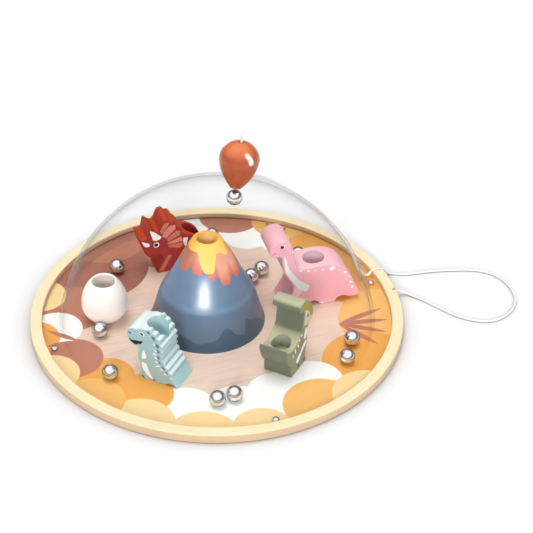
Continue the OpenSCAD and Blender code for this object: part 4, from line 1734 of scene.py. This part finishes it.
@dataclass
class Sun:
    """A soft light from one side, as strong everywhere, as wide as so many degrees."""

    name: str
    side: Spot
    wide: float
    level: float

    def build(self) -> None:
        """Makes the light."""
        data = bpy.data.lights.new(self.name, "SUN")
        data.angle = radians(self.wide)
        data.energy = self.level * pi
        sun = shown(self.name, data)
        sun.rotation_euler = aimed(-Vector(self.side))
        sun.visible_glossy = False


@dataclass
class Lamp:
    """An oval soft lamp in metres: one that lights all, or one that a single piece mirrors."""

    name: str
    spot: Spot
    size: Point
    watts: float
    at: Spot = (0, 0, 0)

    def build(self, shone: Object | None = None) -> None:
        """Makes the lamp.

        Args:
            shone: The piece that mirrors it, if it only gives shine.
        """
        data = bpy.data.lights.new(self.name, "AREA")
        data.shape = "ELLIPSE"
        data.size, data.size_y = self.size
        data.energy = self.watts
        lamp = shown(self.name, data)
        lamp.location = self.spot
        lamp.rotation_euler = aimed(Vector(self.at) - Vector(self.spot))
        lamp.visible_camera = False
        lamp.visible_transmission = False
        lamp.visible_glossy = shone is not None
        lamp.visible_diffuse = shone is None
        if shone:
            pieces = bpy.data.collections.new(self.name)
            pieces.objects.link(shone)
            lamp.light_linking.receiver_collection = pieces


TOP_LIGHT = Sun("top", (-0.2, 0.1, 1.7), 36, 0.48)
FRONT_LIGHT = Sun("front", (-0.3, -2.75, 1.16), 16, 0.42)
SIDE_LAMP = Lamp("side", (1.1, -0.7, 0.7), (0.5, 0.5), 2)
VOLCANO_SHINE = Lamp("volcano_shine", (-0.131, -1.242, 0.611), (0.52, 0.4), 47)
KNOB_SHINE = Lamp("knob_shine", (0.28, -0.09, 0.18), (0.13, 0.5), 5, (0.0127, 0.0178, 0.1098))


@dataclass
class Studio:
    """Camera, lamps, floor and backdrop."""

    lens: float = 103.495
    film: float = 36
    far: float = 100
    eye: Spot = (30.97, -785.2, 609.0)
    right: Spot = (0.9997, 0.0137, 0.0189)
    up: Spot = (-0.0233, 0.5852, 0.8105)
    sky: float = 0.46
    roof: Spot = (-0.1, -0.25, 0.96)
    roof_level: float = 1.15
    roof_edge: float = 0.5
    roof_soft: float = 0.3
    wall_level: float = 0.22
    floor_lift: float = 0.03
    floor_tone: Colour = colour(241, 241, 242)
    floor_shade: Colour = colour(118, 118, 122)
    shade_reach: float = 14
    floor_size: float = 6000

    def camera(self) -> None:
        """Makes the camera at the photograph's viewing angle."""
        data = bpy.data.cameras.new("camera")
        data.lens = self.lens
        data.sensor_width = self.film
        data.clip_end = self.far
        camera = shown("camera", data)
        right, up = Vector(self.right).normalized(), Vector(self.up)
        up = (up - right * up.dot(right)).normalized()
        back = right.cross(up)
        turn = Matrix((right, up, back)).transposed().to_4x4()
        camera.matrix_world = Matrix.Translation(Vector(self.eye) * MM) @ turn
        bpy.context.scene.camera = camera
        LOG.info("made the camera")

    def world(self) -> None:
        """Makes an even pale light, white to the camera, and in metal a pale roof over grey walls."""
        s = Sky("studio")
        way = s.named("ShaderNodeTexCoord", "Generated")
        lifted = way.reckon("DOT_PRODUCT", way, self.roof, output=1)
        roof = lifted.over(self.roof_edge, self.roof_soft)
        shine = roof * (self.roof_level - self.wall_level) + self.wall_level
        seen = s.ray("Camera") | s.ray("Transmission")
        mirrored = s.ray("Glossy")
        level = (1 - mirrored) * ((1 - seen) * self.sky + seen) + mirrored * shine
        light = s.add("ShaderNodeBackground", fed={"Color": colour(255, 255, 255), "Strength": level})
        bpy.context.scene.world = s.finish(light)

    def floor(self) -> None:
        """Makes a plain pale floor that keeps the toy's shadow, with a painted contact shadow near the toy.
        """
        half = self.floor_size / 2 * MM
        mesh = bmesh.new()
        corners = ((-half, -half), (half, -half), (half, half), (-half, half))
        mesh.faces.new([mesh.verts.new((x, y, 0)) for x, y in corners])
        s = Shader("floor")
        # Painted shadow: ambient occlusion darkens the floor's colour towards floor_shade near the toy.
        near = s.add("ShaderNodeAmbientOcclusion", fed={"Distance": self.shade_reach * MM}, output=1)
        shade = s.mix(self.floor_shade, s.vary(self.floor_tone, 0.005, s.place(), scale=0.02), near)
        matt = s.principled(Base_Color=shade, Roughness=0.9, Specular_IOR_Level=0.0)
        glow = s.add("ShaderNodeEmission", fed={"Strength": s.ray("Camera") * self.floor_lift})
        material = s.finish(s.add("ShaderNodeAddShader", fed={0: matt, 1: glow}))
        floor = piece_from("floor", mesh)
        floor.data.materials.append(material)

    def build(self) -> None:
        """Makes the whole studio."""
        self.camera()
        for light in (TOP_LIGHT, FRONT_LIGHT, SIDE_LAMP):
            light.build()
        self.world()
        self.floor()
        bpy.context.scene.view_settings.view_transform = "Standard"


def main() -> None:
    """Builds the toy round its frame, piece by piece."""
    logging.basicConfig(level=logging.INFO, format="%(message)s")
    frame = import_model()
    nodes = frame["nodes"]
    Studio().build()
    Cord().build()
    Tray().build(nodes)
    VOLCANO_SHINE.build(Volcano().build())
    Egg().build()
    for figure in (horned(), short_armed(), long_necked(), crested()):
        figure.build()
    Balls().build(nodes)
    KNOB_SHINE.build(Wand().build(nodes))
    Dome().build()


if __name__ == "__main__":
    main()
